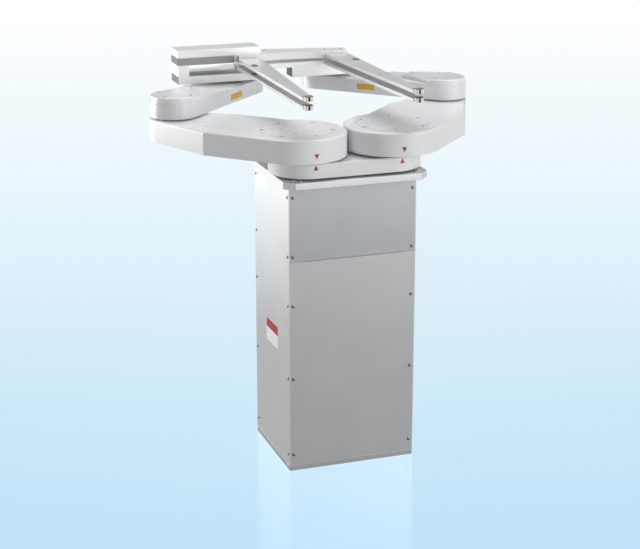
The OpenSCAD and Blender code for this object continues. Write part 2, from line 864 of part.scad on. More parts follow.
// Bottom plate over the left wrist, with the upright wall at its outer end
module upper_bracket() {
  color("whitesmoke") difference() {
    union() {
      translate([0, 0, plate_z]) linear_extrude(height = plate_t) polygon([
        [-bracket_x, bar_front], [-shoulder_x + plate_out, bar_front],
        [-shoulder_x + plate_out, wrist_y], [-shoulder_x, wrist_y + wrist_cap_r - over],
        [-bracket_x + bracket_wall, bar_front + bar_d + bracket_rear],
        [-bracket_x, bar_front + bar_d + bracket_rear]]);
      translate([-shoulder_x, wrist_y, plate_z]) cylinder(r = wrist_cap_r, h = plate_t);
      translate([-bracket_x, bar_front, plate_z])
        cube([bracket_wall, bar_d, high_bar_z - plate_z]);
    }
    translate([-shoulder_x, wrist_y, plate_top - groove_depth])
      ring(cap_groove_r, cap_groove_r - cap_groove_w, groove_depth + over);
  }
}

// Dark plate on the bracket's wall that the cross bar is bolted to
module upper_bracket_top() {
  color("dimgray") translate([-bracket_x, bar_front, high_bar_z])
    cube([bracket_top_w, bar_d, high_bar_t]);
}

bar_x0 = -bracket_x + bracket_top_w;
taper_front = 13;
taper_rear = 42;
taper_start = -50;
finger_grip = 33;
finger_rear = bar_front + finger_grip;
finger_root_y = bar_front - 18;
tip_over = 8;
finger_tip_y = wafer_y - rest_dy - tip_over;

module finger_pockets(z) {
  for (s = [-1, 1]) translate([s * (hand_half - finger_root_w / 2), finger_rear, z + finger_t / 2])
    translate([0, -wafer_clear, 0])
      cube([finger_root_w + 2 * eps, 2 * wafer_clear, finger_t], center = true);
}

module upper_bar() {
  color("lightgray") difference() {
    translate([0, 0, high_bar_z]) linear_extrude(height = high_bar_t) polygon([
      [bar_x0, bar_front], [taper_start, bar_front], [hand_half, bar_front - taper_front],
      [hand_half, bar_rear - taper_rear], [taper_start, bar_rear], [bar_x0, bar_rear]]);
    finger_pockets(high_finger_z);
  }
}

box_w = 202;
box_h = 17.5;
box_edge = 1;

module clamp_box() {
  color("lightgray") translate([-bracket_x, bar_front, high_bar_top]) {
    cube([box_w, bar_d, box_h - box_edge]);
    translate([box_edge, box_edge, box_h - box_edge - eps])
      cube([box_w - 2 * box_edge, bar_d - 2 * box_edge, box_edge + eps]);
  }
}

// One finger in plan on the +X side
module finger_plan() {
  polygon([[hand_half, finger_rear], [hand_half, finger_tip_y],
    [hand_half - finger_tip_w, finger_tip_y], [hand_half - finger_root_w, finger_root_y],
    [hand_half - finger_root_w, finger_rear]]);
}

module fingers(z) {
  for (s = [0, 1]) translate([0, 0, z]) linear_extrude(height = finger_t)
    mirror([s, 0]) finger_plan();
}

module upper_fingers() { color("silver") fingers(high_finger_z); }
module lower_fingers() { color("silver") fingers(low_finger_z); }

pad_r = 9;
pad_t = 1.5;
pad_boss_r = 5;
pad_boss_h = 3;
tip_w = 18;
tip_len = 14;
tip_rest = 12;
tip_stop = 4;

// Edge rests of one hand: a round pad near the bar and a stepped block at each tip
module pads(z) {
  top = z + finger_t;
  for (s = [-1, 1]) {
    color("peru") translate([s * rest_half, wafer_y + rest_dy, top]) {
      cylinder(r = pad_r, h = pad_t);
      cylinder(r = pad_boss_r, h = pad_boss_h);
    }
    color("white") translate([s * rest_half - tip_w / 2, wafer_y - rest_dy - tip_over, z]) {
      translate([0, -tip_len, 0]) cube([tip_w, tip_len, finger_t + tip_stop]);
      translate([0, -eps, finger_t]) cube([tip_w, tip_rest, pad_t]);
      translate([0, -tip_stop / 2, finger_t]) cube([tip_w, tip_stop, tip_stop]);
    }
  }
}

module upper_pads() { pads(high_finger_z); }
module lower_pads() { pads(low_finger_z); }

block_out = 46;
block_in = 111;
block_corner = 50;

module lower_bar() {
  color("lightgray") difference() {
    translate([0, 0, low_bar_z]) linear_extrude(height = low_bar_t) polygon([
      [-hand_half, bar_front], [shoulder_x + block_out, bar_front],
      [shoulder_x + block_out, bar_rear - taper_rear / 2],
      [taper_start, bar_rear - taper_rear / 2], [-hand_half, finger_rear + over]]);
    finger_pockets(low_finger_z);
  }
}

// Block between the right wrist and the lower bar
module lower_block() {
  x0 = shoulder_x - block_in;
  color("whitesmoke") {
    translate([0, 0, plate_z]) linear_extrude(height = low_bar_z - plate_z) polygon([
      [x0, bar_front], [shoulder_x + block_out, bar_front], [shoulder_x + block_out, wrist_y],
      [shoulder_x, wrist_y + wrist_cap_r - over], [x0 + block_corner, wrist_y],
      [x0, bar_rear - taper_rear / 2]]);
    translate([shoulder_x, wrist_y, plate_z]) cylinder(r = wrist_cap_r, h = low_bar_z - plate_z);
  }
}

base_plate();
column_frame();
cover_front_upper();
cover_front_lower();
cover_left();
cover_right();
cover_rear();
column_screws();
top_flange();
post_seal();
guide_rails();
ball_screw();
lift_motor();
lift_belt();
lift_carriage();
lift_runners();
lift_post();
theta_motor();
theta_bearing();
waist_housing();
waist_base_cover();
theta_tube();
arm_motors();
shoulder_bearings();
shoulder_posts();
drive_belts();
link_housing(-1);  // left_link_housing
link_cover(-1);  // left_link_cover
link_screws(-1);  // left_link_screws
link_hub(-1);  // left_link_hub
link_belt(-1);  // left_link_belt
elbow_post(-1);  // left_elbow_post
forearm_housing(-1);  // left_forearm_housing
forearm_cap(-1);  // left_forearm_cap
forearm_screws(-1);  // left_forearm_screws
elbow_hub(-1);  // left_elbow_hub
forearm_belt(-1);  // left_forearm_belt
link_housing(1);  // right_link_housing
link_cover(1);  // right_link_cover
link_screws(1);  // right_link_screws
link_hub(1);  // right_link_hub
link_belt(1);  // right_link_belt
elbow_post(1);  // right_elbow_post
forearm_housing(1);  // right_forearm_housing
forearm_cap(1);  // right_forearm_cap
forearm_screws(1);  // right_forearm_screws
elbow_hub(1);  // right_elbow_hub
forearm_belt(1);  // right_forearm_belt
wrist_shaft(-1);  // upper_wrist_shaft
upper_bracket();
upper_bracket_top();
upper_bar();
clamp_box();
upper_fingers();
upper_pads();
wrist_shaft(1);  // lower_wrist_shaft
lower_block();
lower_bar();
lower_fingers();
lower_pads();
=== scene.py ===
import math

import bmesh
import bpy
from mathutils import Matrix, Vector


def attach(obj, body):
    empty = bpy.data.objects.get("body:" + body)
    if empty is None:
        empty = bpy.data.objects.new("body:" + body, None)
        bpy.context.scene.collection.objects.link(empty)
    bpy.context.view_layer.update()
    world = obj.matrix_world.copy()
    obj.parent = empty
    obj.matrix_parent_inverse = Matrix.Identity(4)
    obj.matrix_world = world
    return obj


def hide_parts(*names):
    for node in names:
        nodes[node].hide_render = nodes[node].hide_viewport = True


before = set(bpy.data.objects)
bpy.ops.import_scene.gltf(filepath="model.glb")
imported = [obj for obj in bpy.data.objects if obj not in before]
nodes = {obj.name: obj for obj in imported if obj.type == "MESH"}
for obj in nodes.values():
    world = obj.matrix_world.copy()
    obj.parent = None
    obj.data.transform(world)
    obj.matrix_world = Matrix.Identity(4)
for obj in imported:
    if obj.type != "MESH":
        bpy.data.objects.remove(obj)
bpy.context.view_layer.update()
print("frame loaded:", len(nodes), "nodes")


sharpAngle = math.radians(35)


def shadeByAngle(mesh):
    mesh.shade_smooth()
    mesh.set_sharp_from_angle(angle=sharpAngle)


def newTree(material):
    material.use_nodes = True
    tree = material.node_tree
    tree.nodes.clear()
    return tree


def addNode(tree, kind, x, y, inputs=None, **settings):
    node = tree.nodes.new(kind)
    node.location = (x, y)
    for name, value in settings.items():
        setattr(node, name, value)
    for name, value in (inputs or {}).items():
        node.inputs[name].default_value = value
    return node


def makeObject(name, bm, material, body, smooth=True):
    mesh = bpy.data.meshes.new(name)
    bm.to_mesh(mesh)
    bm.free()
    mesh.materials.append(material)
    if smooth:
        shadeByAngle(mesh)
    obj = bpy.data.objects.new(name, mesh)
    bpy.context.collection.objects.link(obj)
    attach(obj, body)
    return obj


def softenEdges(obj, width, segments=3, angle=30):
    # width in mm, angle in degrees
    bevel = obj.modifiers.new("softEdges", "BEVEL")
    bevel.width = width / 1000
    bevel.segments = segments
    bevel.limit_method = "ANGLE"
    bevel.angle_limit = math.radians(angle)
    flat = obj.modifiers.new("flatFaces", "WEIGHTED_NORMAL")
    flat.keep_sharp = True


rimSearch = {
    # share of the height above which a point is on the upper edge, largest Z of an upright face's normal,
    # how far in metres a wall may end above the bottom, steps in a metre when points are matched
    "share": 0.8, "uprightZ": 0.2, "slack": 0.0005, "steps": 100000,
}


def softenTopRim(obj, width, segments):
    # rounds the upper edge of the walls that run the full height; width in mm
    mesh = obj.data
    points = [v.co for v in mesh.vertices]
    bottom, top = min(p.z for p in points), max(p.z for p in points)
    rimLevel = bottom + rimSearch["share"] * (top - bottom)
    keys = [tuple(round(c * rimSearch["steps"]) for c in p) for p in points]
    rim = set()
    for face in mesh.polygons:
        upper = [i for i in face.vertices if points[i].z > rimLevel]
        upright = abs(face.normal.z) < rimSearch["uprightZ"]
        fullHeight = min(points[i].z for i in face.vertices) < bottom + rimSearch["slack"]
        if upright and fullHeight and len(upper) == 2:
            rim.add(frozenset(keys[i] for i in upper))
    weights = mesh.attributes.new("bevel_weight_edge", "FLOAT", "EDGE")
    weights.data.foreach_set("value", [float(frozenset(keys[i] for i in edge.vertices) in rim)
                                       for edge in mesh.edges])
    bevel = obj.modifiers.new("softRim", "BEVEL")
    bevel.width = width / 1000
    bevel.segments = segments
    bevel.limit_method = "WEIGHT"
    bevel.use_clamp_overlap = False
    bevel.loop_slide = False
    print("rim edges of", obj.name, len(rim))


def addBox(bm, low, high):
    a, b = Vector(low), Vector(high)
    size = b - a
    matrix = Matrix.Translation((a + b) / 2) @ Matrix.Diagonal((size.x, size.y, size.z, 1))
    bmesh.ops.create_cube(bm, size=1, matrix=matrix)


def makeGrainGroup():
    # long fine scratches along one axis, for sheet and machined metal
    tree = bpy.data.node_groups.new("fineGrain", "ShaderNodeTree")
    tree.interface.new_socket(name="Stretch", in_out="INPUT", socket_type="NodeSocketVector")
    for name, inOut in (("Low", "INPUT"), ("High", "INPUT"),
                        ("Roughness", "OUTPUT"), ("Height", "OUTPUT"), ("Mask", "OUTPUT")):
        tree.interface.new_socket(name=name, in_out=inOut, socket_type="NodeSocketFloat")
    groupIn = addNode(tree, "NodeGroupInput", -900, 0)
    groupOut = addNode(tree, "NodeGroupOutput", 500, 0)
    coords = addNode(tree, "ShaderNodeTexCoord", -900, 300)
    scaled = addNode(tree, "ShaderNodeVectorMath", -700, 200, operation="MULTIPLY")
    fine = addNode(tree, "ShaderNodeTexNoise", -500, 250, {"Scale": 1.0, "Detail": 3.0, "Roughness": 0.6})
    broad = addNode(tree, "ShaderNodeTexNoise", -500, -50, {"Scale": 9.0, "Detail": 2.0, "Roughness": 0.5})
    broadShare = 0.35
    both = addNode(tree, "ShaderNodeMath", -300, 150, {1: broadShare}, operation="MULTIPLY_ADD")
    spread = addNode(tree, "ShaderNodeMapRange", -50, 150, {"From Min": 0.3, "From Max": 0.95})
    link = tree.links.new
    link(coords.outputs["Object"], scaled.inputs[0])
    link(groupIn.outputs["Stretch"], scaled.inputs[1])
    link(scaled.outputs[0], fine.inputs["Vector"])
    link(coords.outputs["Object"], broad.inputs["Vector"])
    link(broad.outputs["Fac"], both.inputs[0])
    link(fine.outputs["Fac"], both.inputs[2])
    link(both.outputs[0], spread.inputs["Value"])
    link(groupIn.outputs["Low"], spread.inputs["To Min"])
    link(groupIn.outputs["High"], spread.inputs["To Max"])
    link(spread.outputs["Result"], groupOut.inputs["Roughness"])
    link(fine.outputs["Fac"], groupOut.inputs["Height"])
    link(broad.outputs["Fac"], groupOut.inputs["Mask"])
    return tree


def makeScuffHighlightGroup():
    # a mask along the edges, broken up by noise: partly wear, partly a painted highlight on the edges
    tree = bpy.data.node_groups.new("edgeScuffHighlight", "ShaderNodeTree")
    for name, inOut in (("Radius", "INPUT"), ("Amount", "INPUT"), ("Mask", "OUTPUT")):
        tree.interface.new_socket(name=name, in_out=inOut, socket_type="NodeSocketFloat")
    groupIn = addNode(tree, "NodeGroupInput", -900, 0)
    groupOut = addNode(tree, "NodeGroupOutput", 700, 0)
    bevel = addNode(tree, "ShaderNodeBevel", -700, 100, samples=4)
    geometry = addNode(tree, "ShaderNodeNewGeometry", -700, -100)
    dot = addNode(tree, "ShaderNodeVectorMath", -500, 50, operation="DOT_PRODUCT")
    edge = addNode(tree, "ShaderNodeMapRange", -300, 50, {"From Min": 0.99, "From Max": 0.8})
    coords = addNode(tree, "ShaderNodeTexCoord", -700, -350)
    noise = addNode(tree, "ShaderNodeTexNoise", -500, -300, {"Scale": 60.0, "Detail": 3.0})
    broken = addNode(tree, "ShaderNodeMapRange", -300, -300, {"From Min": 0.35, "From Max": 0.65})
    mixed = addNode(tree, "ShaderNodeMath", 0, 0, operation="MULTIPLY")
    amount = addNode(tree, "ShaderNodeMath", 300, 0, operation="MULTIPLY")
    link = tree.links.new
    link(groupIn.outputs["Radius"], bevel.inputs["Radius"])
    link(bevel.outputs["Normal"], dot.inputs[0])
    link(geometry.outputs["Normal"], dot.inputs[1])
    link(dot.outputs["Value"], edge.inputs["Value"])
    link(coords.outputs["Object"], noise.inputs["Vector"])
    link(noise.outputs["Fac"], broken.inputs["Value"])
    link(edge.outputs["Result"], mixed.inputs[0])
    link(broken.outputs["Result"], mixed.inputs[1])
    link(mixed.outputs[0], amount.inputs[0])
    link(groupIn.outputs["Amount"], amount.inputs[1])
    link(amount.outputs[0], groupOut.inputs["Mask"])
    return tree


def makeHazeGroup():
    # masks of a broad, faint cleaning haze and of fine grit
    tree = bpy.data.node_groups.new("cleaningHaze", "ShaderNodeTree")
    for name, inOut in (("Scale", "INPUT"), ("Mask", "OUTPUT"), ("Grit", "OUTPUT")):
        tree.interface.new_socket(name=name, in_out=inOut, socket_type="NodeSocketFloat")
    groupIn = addNode(tree, "NodeGroupInput", -700, 0)
    groupOut = addNode(tree, "NodeGroupOutput", 300, 0)
    coords = addNode(tree, "ShaderNodeTexCoord", -700, 200)
    haze = addNode(tree, "ShaderNodeTexNoise", -400, 150,
                   {"Detail": 4.0, "Roughness": 0.55, "Distortion": 0.4})
    grit = addNode(tree, "ShaderNodeTexNoise", -400, -150, {"Scale": 900.0, "Detail": 1.0})
    link = tree.links.new
    link(coords.outputs["Object"], haze.inputs["Vector"])
    link(coords.outputs["Object"], grit.inputs["Vector"])
    link(groupIn.outputs["Scale"], haze.inputs["Scale"])
    link(haze.outputs["Fac"], groupOut.inputs["Mask"])
    link(grit.outputs["Fac"], groupOut.inputs["Grit"])
    return tree


grainGroup = makeGrainGroup()
scuffHighlightGroup = makeScuffHighlightGroup()
hazeGroup = makeHazeGroup()
print("shader groups made")


# how far worn edges reach in metres, and how much lighter bare metal is there; the lighter edges are partly
# wear and partly a painted highlight
scuffHighlightEdge = {"radius": 0.0012, "metal": 0.6, "paint": 0.5, "lighter": 1.25}

metalFinishes = {
    # colour, second colour, grain stretch (1/m), roughness low and high, metallic, bump in mm
    # the column's covers are one sheet metal: the front and upper sheets are painted darker (painted shade),
    # the side sheet lighter (painted light)
    "shadedFrontSheet": ((0.65, 0.66, 0.67), (0.60, 0.61, 0.625), (700, 700, 9), 0.30, 0.42, 0.55, 0.010),
    "shadedUpperSheet": ((0.54, 0.56, 0.585), (0.48, 0.50, 0.525), (700, 700, 9), 0.30, 0.42, 0.55, 0.010),
    "litSideSheet": ((0.84, 0.845, 0.855), (0.79, 0.795, 0.81), (700, 700, 9), 0.24, 0.34, 0.80, 0.010),
    "footPlate": ((0.62, 0.63, 0.65), (0.55, 0.56, 0.58), (60, 60, 500), 0.35, 0.5, 0.9, 0.015),
    "flangeMetal": ((0.84, 0.845, 0.86), (0.77, 0.775, 0.79), (40, 600, 600), 0.24, 0.4, 0.45, 0.012),
    "frameMetal": ((0.60, 0.61, 0.63), (0.52, 0.53, 0.55), (300, 300, 40), 0.35, 0.5, 0.95, 0.02),
    "groundSteel": ((0.62, 0.63, 0.65), (0.55, 0.56, 0.58), (200, 200, 900), 0.18, 0.32, 1.0, 0.008),
    "postMetal": ((0.70, 0.71, 0.73), (0.64, 0.65, 0.67), (300, 300, 60), 0.25, 0.38, 0.95, 0.01),
    "handMetal": ((0.95, 0.952, 0.955), (0.935, 0.937, 0.942), (40, 1400, 1400), 0.27, 0.29, 0.30, 0.0002),
    "fingerMetal": ((0.80, 0.803, 0.805), (0.74, 0.743, 0.75), (1200, 40, 1200), 0.28, 0.40, 0.45, 0.003),
    # dark grey of the upper bracket's top; on end faces it is painted shade
    "darkGreyAndShade": ((0.34, 0.345, 0.345), (0.29, 0.295, 0.295), (40, 500, 500), 0.30, 0.45, 0.85, 0.010),
    "screwSteel": ((0.30, 0.30, 0.31), (0.22, 0.22, 0.23), (900, 900, 900), 0.25, 0.45, 1.0, 0.01),
    "brightScrew": ((0.85, 0.85, 0.86), (0.75, 0.75, 0.76), (900, 900, 900), 0.15, 0.3, 1.0, 0.005),
    "bossBrass": ((0.36, 0.30, 0.16), (0.26, 0.21, 0.11), (900, 900, 900), 0.25, 0.45, 1.0, 0.01),
}


metalBumpStrength = 0.35


def addScuffHighlight(tree, x, amount):
    scuffHighlightMask = addNode(tree, "ShaderNodeGroup", x, -300, node_tree=scuffHighlightGroup)
    scuffHighlightMask.inputs["Radius"].default_value = scuffHighlightEdge["radius"]
    scuffHighlightMask.inputs["Amount"].default_value = amount
    return scuffHighlightMask


def makeMetal(name, values):
    colour, second, stretch, low, high, metallic, bump = values
    material = bpy.data.materials.new(name)
    tree = newTree(material)
    grain = addNode(tree, "ShaderNodeGroup", -600, 0, node_tree=grainGroup)
    for socket, value in (("Stretch", stretch), ("Low", low), ("High", high)):
        grain.inputs[socket].default_value = value
    scuffHighlightMask = addScuffHighlight(tree, -600, scuffHighlightEdge["metal"])
    tone = addNode(tree, "ShaderNodeMix", -300, 200, data_type="RGBA")
    tone.inputs["A"].default_value = (*second, 1)
    tone.inputs["B"].default_value = (*colour, 1)
    # lighter edges: partly wear, partly a painted highlight
    scuffHighlightTone = addNode(tree, "ShaderNodeMix", -50, 200, data_type="RGBA")
    scuffHighlightTone.inputs["B"].default_value = (*[min(1, c * scuffHighlightEdge["lighter"]) for c in colour], 1)
    bumpNode = addNode(tree, "ShaderNodeBump", -50, -200,
                       {"Strength": metalBumpStrength, "Distance": bump / 1000})
    shader = addNode(tree, "ShaderNodeBsdfPrincipled", 250, 0, {"Metallic": metallic})
    output = addNode(tree, "ShaderNodeOutputMaterial", 550, 0)
    link = tree.links.new
    link(grain.outputs["Mask"], tone.inputs["Factor"])
    link(tone.outputs["Result"], scuffHighlightTone.inputs["A"])
    link(scuffHighlightMask.outputs["Mask"], scuffHighlightTone.inputs["Factor"])
    link(scuffHighlightTone.outputs["Result"], shader.inputs["Base Color"])
    link(grain.outputs["Roughness"], shader.inputs["Roughness"])
    link(grain.outputs["Height"], bumpNode.inputs["Height"])
    link(bumpNode.outputs["Normal"], shader.inputs["Normal"])
    link(shader.outputs[0], output.inputs["Surface"])
    return material


paintFinishes = {
    # colour, hazed colour, worn edge colour (partly wear, partly a painted highlight), roughness, haze scale
    # (1/m), metallic, coat
    "armPaint": ((0.80, 0.81, 0.82), (0.76, 0.77, 0.79), (0.86, 0.87, 0.88), 0.30, 7.0, 0.0, 0.35),
    "coverPaint": ((0.82, 0.83, 0.84), (0.78, 0.79, 0.81), (0.88, 0.89, 0.90), 0.28, 9.0, 0.0, 0.35),
    "motorBlack": ((0.03, 0.03, 0.033), (0.045, 0.045, 0.05), (0.12, 0.12, 0.13), 0.4, 25.0, 0.0, 0.0),
    # black rubber; also the painted shade in the rests' notches
    "blackRubberAndShade": ((0.018, 0.018, 0.02), (0.03, 0.03, 0.032), (0.05, 0.05, 0.05), 0.75, 40.0, 0.0, 0.0),
    "restBrown": ((0.30, 0.21, 0.11), (0.24, 0.17, 0.09), (0.42, 0.32, 0.18), 0.45, 60.0, 0.0, 0.0),
    "restWhite": ((0.86, 0.86, 0.85), (0.78, 0.78, 0.77), (0.92, 0.92, 0.92), 0.4, 60.0, 0.0, 0.0),
    # grey of the painted shade on end faces
    "shadeGrey": ((0.15, 0.155, 0.16), (0.12, 0.125, 0.13), (0.22, 0.22, 0.23), 0.55, 50.0, 0.0, 0.0),
    "markRed": ((0.44, 0.012, 0.022), (0.38, 0.012, 0.02), (0.65, 0.10, 0.10), 0.4, 40.0, 0.0, 0.0),
    "labelAmber": ((0.62, 0.30, 0.02), (0.55, 0.26, 0.02), (0.70, 0.42, 0.10), 0.4, 60.0, 0.0, 0.0),
    "labelYellow": ((0.80, 0.50, 0.02), (0.72, 0.42, 0.02), (0.85, 0.62, 0.15), 0.4, 60.0, 0.0, 0.0),
    "labelWhite": ((0.82, 0.82, 0.82), (0.76, 0.76, 0.77), (0.88, 0.88, 0.88), 0.4, 60.0, 0.0, 0.0),
}


# how the haze shifts roughness, the grit's bump (height in metres) and the coat's roughness
paintDetail = {
    "smoother": 0.05, "rougher": 0.07, "gritStrength": 0.12, "gritHeight": 0.00004, "coatRough": 0.15,
}


def makePaint(name, values):
    colour, hazed, scuffHighlightTone, roughness, scale, metallic, coat = values
    material = bpy.data.materials.new(name)
    tree = newTree(material)
    haze = addNode(tree, "ShaderNodeGroup", -700, 0, {"Scale": scale}, node_tree=hazeGroup)
    scuffHighlightMask = addScuffHighlight(tree, -700, scuffHighlightEdge["paint"])
    tone = addNode(tree, "ShaderNodeMix", -350, 200, data_type="RGBA")
    tone.inputs["A"].default_value = (*colour, 1)
    tone.inputs["B"].default_value = (*hazed, 1)
    # lighter edges: partly wear, partly a painted highlight
    edges = addNode(tree, "ShaderNodeMix", -100, 200, data_type="RGBA")
    edges.inputs["B"].default_value = (*scuffHighlightTone, 1)
    rough = addNode(tree, "ShaderNodeMapRange", -350, -50, {
        "From Min": 0.3, "From Max": 0.7,
        "To Min": roughness - paintDetail["smoother"], "To Max": roughness + paintDetail["rougher"]})
    bumpNode = addNode(tree, "ShaderNodeBump", -100, -200,
                       {"Strength": paintDetail["gritStrength"], "Distance": paintDetail["gritHeight"]})
    shader = addNode(tree, "ShaderNodeBsdfPrincipled", 250, 0,
                     {"Metallic": metallic, "Coat Weight": coat, "Coat Roughness": paintDetail["coatRough"]})
    output = addNode(tree, "ShaderNodeOutputMaterial", 550, 0)
    link = tree.links.new
    link(haze.outputs["Mask"], tone.inputs["Factor"])
    link(tone.outputs["Result"], edges.inputs["A"])
    link(scuffHighlightMask.outputs["Mask"], edges.inputs["Factor"])
    link(edges.outputs["Result"], shader.inputs["Base Color"])
    link(haze.outputs["Mask"], rough.inputs["Value"])
    link(rough.outputs["Result"], shader.inputs["Roughness"])
    link(haze.outputs["Grit"], bumpNode.inputs["Height"])
    link(bumpNode.outputs["Normal"], shader.inputs["Normal"])
    link(shader.outputs[0], output.inputs["Surface"])
    return material


finish = {name: makeMetal(name, values) for name, values in metalFinishes.items()}
finish.update({name: makePaint(name, values) for name, values in paintFinishes.items()})
print("finishes made:", len(finish))


# finish of each solid and how far its edges are softened, in mm
nodeFinish = {
    # the column covers: painted shade on the front sheets, painted light on the side sheets
    "cover_front_lower": ("shadedFrontSheet", 0), "cover_front_upper": ("shadedUpperSheet", 0),
    "cover_rear": ("shadedFrontSheet", 0), "cover_left": ("litSideSheet", 0), "cover_right": ("litSideSheet", 0),
    "base_plate": ("footPlate", 0.8), "column_frame": ("frameMetal", 0), "column_screws": ("screwSteel", 0),
    "top_flange": ("flangeMetal", 1.0), "post_seal": ("blackRubberAndShade", 0),
    "guide_rails": ("groundSteel", 0.5), "ball_screw": ("groundSteel", 0),
    "lift_motor": ("motorBlack", 1.0), "lift_belt": ("blackRubberAndShade", 0),
    "lift_carriage": ("frameMetal", 0.8), "lift_runners": ("groundSteel", 0.5), "lift_post": ("postMetal", 0),
    "theta_motor": ("motorBlack", 0.5), "theta_bearing": ("groundSteel", 0),
    "waist_housing": ("armPaint", 0.8), "waist_base_cover": ("postMetal", 0),
    "theta_tube": ("groundSteel", 0),
    "arm_motors": ("motorBlack", 0), "shoulder_bearings": ("groundSteel", 0),
    "shoulder_posts": ("groundSteel", 0), "drive_belts": ("blackRubberAndShade", 0),
    "upper_wrist_shaft": ("groundSteel", 0), "lower_wrist_shaft": ("groundSteel", 0),
    "upper_bracket": ("handMetal", 0.8), "upper_bracket_top": ("darkGreyAndShade", 0.8),
    "upper_bar": ("handMetal", 0.8),
    "clamp_box": ("handMetal", 0.5), "upper_fingers": ("fingerMetal", 0.6), "upper_pads": ("restWhite", 0.3),
    "lower_block": ("handMetal", 0.8), "lower_bar": ("handMetal", 0.8), "lower_fingers": ("fingerMetal", 0.6),
    "lower_pads": ("restWhite", 0.3),
}
for side in ("left_", "right_"):
    nodeFinish.update({
        side + "link_housing": ("armPaint", 1.5), side + "link_cover": ("coverPaint", 0.5),
        side + "link_screws": ("screwSteel", 0), side + "link_hub": ("groundSteel", 0),
        side + "link_belt": ("blackRubberAndShade", 0), side + "elbow_post": ("groundSteel", 0),
        side + "forearm_housing": ("armPaint", 0.5), side + "forearm_cap": ("coverPaint", 0.6),
        side + "forearm_screws": ("screwSteel", 0), side + "elbow_hub": ("groundSteel", 0),
        side + "forearm_belt": ("blackRubberAndShade", 0),
    })


def makeSmoothGroup():
    # shades every face smooth by a modifier, so the mesh itself stays as it is
    tree = bpy.data.node_groups.new("smoothFaces", "GeometryNodeTree")
    for inOut in ("INPUT", "OUTPUT"):
        tree.interface.new_socket(name="Geometry", in_out=inOut, socket_type="NodeSocketGeometry")
    groupIn = addNode(tree, "NodeGroupInput", -200, 0)
    smooth = addNode(tree, "GeometryNodeSetShadeSmooth", 0, 0)
    groupOut = addNode(tree, "NodeGroupOutput", 200, 0)
    tree.links.new(groupIn.outputs[0], smooth.inputs["Geometry"])
    tree.links.new(smooth.outputs[0], groupOut.inputs[0])
    return tree


smoothGroup = makeSmoothGroup()
weldReach = 0.000005


def smoothFaces(obj):
    obj.modifiers.new("smoothFaces", "NODES").node_group = smoothGroup


def weldPoints(obj):
    # joins the split points of neighbouring faces, so that edges can be softened
    weld = obj.modifiers.new("weld", "WELD")
    weld.merge_threshold = weldReach


for name, obj in nodes.items():
    look, edge = nodeFinish[name]
    obj.material_slots[0].material = finish[look]
    smoothFaces(obj)
    if edge:
        weldPoints(obj)
        softenEdges(obj, edge)
print("nodes dressed")


# widths in mm; edges whose faces meet at less than cornerDeg aren't softened
linkBodies = {"rim": 5, "rimSegments": 10, "edge": 1.5, "cornerDeg": 11}


def makeLinkBodies():
    # the first links as new pieces, with a soft upper rim; the walls' shallow corners stay
    for side in ("left", "right"):
        piece = bpy.data.objects.new(side + "LinkBody", nodes[side + "_link_housing"].data.copy())
        bpy.context.collection.objects.link(piece)
        smoothFaces(piece)
        weldPoints(piece)
        softenTopRim(piece, linkBodies["rim"], linkBodies["rimSegments"])
        softenEdges(piece, linkBodies["edge"], angle=linkBodies["cornerDeg"])
        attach(piece, side + "_link")
        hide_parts(side + "_link_housing")


# from here on lengths are in metres and angles in degrees; places are in the shared frame
robot = {
    "axisY": -0.070, "shoulderX": 0.111, "linkRadius": 0.109, "linkEndRadius": 0.056,
    "waistHalf": 0.092, "waistRadius": 0.083,
    "elbow": (0.3292, 0.1544), "wrist": (0.111, 0.3788), "elbowRadius": 0.055, "wristRadius": 0.060,
}


def roundPlace(centre, radius, angle, height):
    # s runs round an upright cylinder, t up and out outwards, in metres
    def place(s, t, out):
        a = angle + s / radius
        reach = radius + out
        return Vector((centre[0] + reach * math.cos(a), centre[1] + reach * math.sin(a), height + t))
    return place


def flatPlace(origin, along, outward):
    # s runs along a flat wall, t up and out outwards
    def place(s, t, out):
        return Vector(origin) + Vector(along) * s + Vector((0, 0, t)) + Vector(outward) * out
    return place


def triangleOutline(width, height, up):
    # columns (s, low, high) of a triangle
    steps = 6
    columns = []
    for i in range(steps + 1):
        s = width * (i / steps - 0.5)
        reach = height * (1 - abs(2 * s / width))
        columns.append((s, 0, reach) if up else (s, -reach, 0))
    return columns


def labelOutline(width, height, corner):
    # columns (s, low, high) of a rectangle with round corners
    steps = 6
    columns = []
    for side in (-1, 1):
        for i in range(steps + 1):
            a = math.pi / 2 / steps * (i if side < 0 else steps - i)
            s = side * (width / 2 - corner + corner * math.cos(a))
            cut = corner * (1 - math.sin(a))
            columns.append((s, cut, height - cut))
    return columns


def addPlate(bm, place, columns, start, thickness):
    # a thin plate that follows a wall, from start to start + thickness off it
    rows = []
    for s, lowEdge, highEdge in columns:
        rows.append([bm.verts.new(place(s, t, out))
                     for t, out in ((lowEdge, start), (highEdge, start),
                                    (highEdge, start + thickness), (lowEdge, start + thickness))])
    for one, two in zip(rows, rows[1:]):
        for i in range(4):
            j = (i + 1) % 4
            bm.faces.new((one[i], one[j], two[j], two[i]))
    for row in (rows[0], rows[-1]):
        bm.faces.new(row)


def closeMesh(bm):
    joinReach = 0.000002
    bmesh.ops.remove_doubles(bm, verts=bm.verts, dist=joinReach)
    bmesh.ops.dissolve_degenerate(bm, dist=joinReach / 2, edges=bm.edges)
    bmesh.ops.recalc_face_normals(bm, faces=bm.faces)


def makePlate(name, body, material, place, columns, start=-0.00005, thickness=0.0003):
    bm = bmesh.new()
    addPlate(bm, place, columns, start, thickness)
    closeMesh(bm)
    return makeObject(name, bm, finish[material], body)


